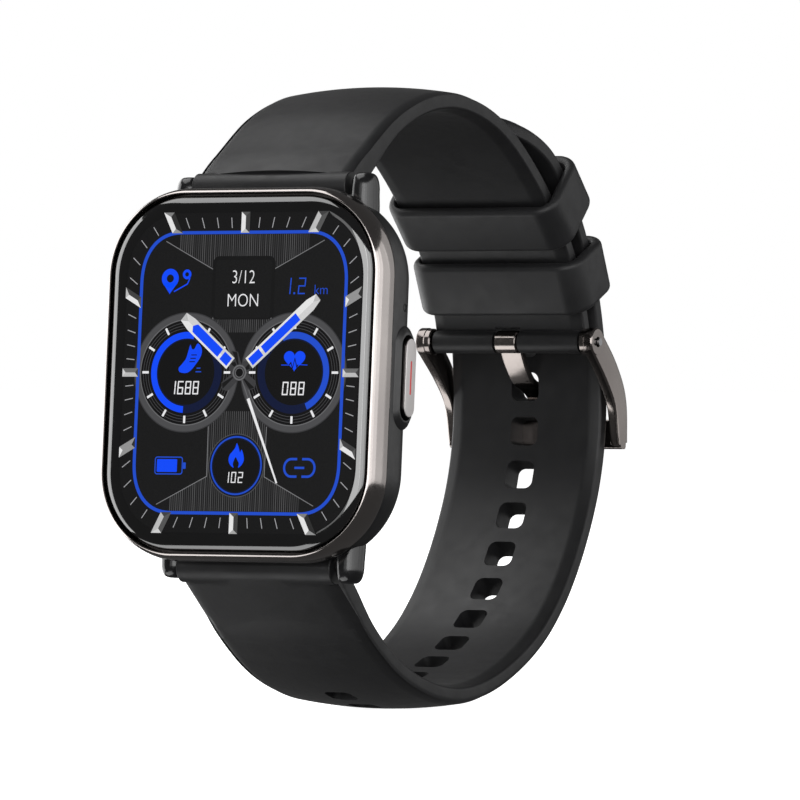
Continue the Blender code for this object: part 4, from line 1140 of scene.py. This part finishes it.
def direction(azimuth, elevation):
    """The unit direction from the watch at an azimuth (0 ahead of the dial) and elevation, in radians."""
    return Vector((math.sin(azimuth) * math.cos(elevation), -math.cos(azimuth) * math.cos(elevation),
                   math.sin(elevation)))


def soft_box(name, azimuth, elevation, half_wide, half_tall, radiance):
    """A panel light that spans the given half angles, in degrees, as seen from the watch."""
    middle, distance = Vector((0, 0.022, 0.0)), 1.1
    back = direction(math.radians(azimuth), math.radians(elevation))
    data = bpy.data.lights.new(name, "AREA")
    data.shape = "RECTANGLE"
    data.size = 2 * distance * math.tan(math.radians(half_wide))
    data.size_y = 2 * distance * math.tan(math.radians(half_tall))
    data.energy = radiance * math.pi * data.size * data.size_y
    obj = bpy.data.objects.new(name, data)
    obj.location = middle + back * distance
    obj.rotation_mode = "QUATERNION"
    obj.rotation_quaternion = (-back).to_track_quat("-Z", "Y")
    scene.collection.objects.link(obj)


def build_studio():
    """A white floor, a dim fill with a white backdrop, and soft boxes left, right, above and below."""
    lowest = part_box("strap_lower")[0].z
    paper = Nodes("white_paper")
    paper.set(rough=0.9, specular=0.0, emission=(1, 1, 1, 1), strength=0.96)
    paper.vary_color(paper.noise(0.02, 2), (0.78, 0.78, 0.78, 1), (0.82, 0.82, 0.82, 1))
    mesh = bpy.data.meshes.new("floor")
    half, gap = 6.0, 0.0002
    corners = ((-half, -half), (half, -half), (half, half), (-half, half))
    mesh.from_pydata([(x, y, lowest - gap) for x, y in corners], [], [(0, 1, 2, 3)])
    mesh.materials.append(paper.mat)
    floor = bpy.data.objects.new("floor", mesh)
    scene.collection.objects.link(floor)
    floor.visible_diffuse = False
    floor.visible_glossy = False
    floor.visible_shadow = False

    world = bpy.data.worlds.new("studio")
    world.use_nodes = True
    tree = world.node_tree
    seen, fill = tree.nodes["Background"], tree.nodes.new("ShaderNodeBackground")
    for background, strength in ((seen, 1.0), (fill, 0.08)):
        background.inputs["Color"].default_value = (1, 1, 1, 1)
        background.inputs["Strength"].default_value = strength
    path, mix = tree.nodes.new("ShaderNodeLightPath"), tree.nodes.new("ShaderNodeMixShader")
    tree.links.new(path.outputs["Is Camera Ray"], mix.inputs["Fac"])
    tree.links.new(fill.outputs["Background"], mix.inputs[1])
    tree.links.new(seen.outputs["Background"], mix.inputs[2])
    tree.links.new(mix.outputs["Shader"], tree.nodes["World Output"].inputs["Surface"])
    scene.world = world

    # The row on the right is brightest ahead of the glass edge and fades round to the back.
    for number, (azimuth, half_wide, radiance) in enumerate((
        (-13, 8, 1.1), (8, 13, 4.2), (32, 12.4, 3.5), (56, 12.4, 2.6), (80, 12.4, 2.2), (104, 12.4, 1.8),
        (128, 12.4, 1.1), (152, 12.4, 0.6),
    )):
        soft_box(f"box_right_{number}", azimuth, 10, half_wide, 19, radiance)
    soft_box("box_left", -95, 2, 33, 30, 3.2)
    soft_box("box_top", -75, 62, 28, 18, 2.7)
    soft_box("box_low", -52, -50, 26, 14, 2.4)


def build_camera():
    """A far camera at the photo's viewing angle; its frame spans frame_width at the watch."""
    yaw, rise, roll = math.radians(28.7), math.radians(-3.8), math.radians(2.3)
    back = direction(yaw, rise)
    level = Vector((math.cos(yaw), math.sin(yaw), 0))
    up = back.cross(level)
    right = math.cos(roll) * level + math.sin(roll) * up
    up = back.cross(right)
    distance, frame_width = 0.9, 99.1326 * MM
    dial_middle, shift_right, shift_down = Vector((0, -0.010, 0)), 19.9133 * MM, 3.3209 * MM
    spot = dial_middle + right * shift_right - up * shift_down + back * distance
    data = bpy.data.cameras.new("camera")
    data.sensor_width = 36
    data.lens = data.sensor_width * distance / frame_width
    data.clip_start, data.clip_end = 0.01, 50
    camera = bpy.data.objects.new("camera", data)
    turn = Matrix((right, up, back)).transposed().to_4x4()
    camera.matrix_world = TO_WORLD @ Matrix.Translation(spot) @ turn
    scene.collection.objects.link(camera)
    scene.camera = camera


build_case()
build_button()
build_straps()
build_keepers()
build_buckle()
build_dial()
dress_nodes()
build_studio()
build_camera()
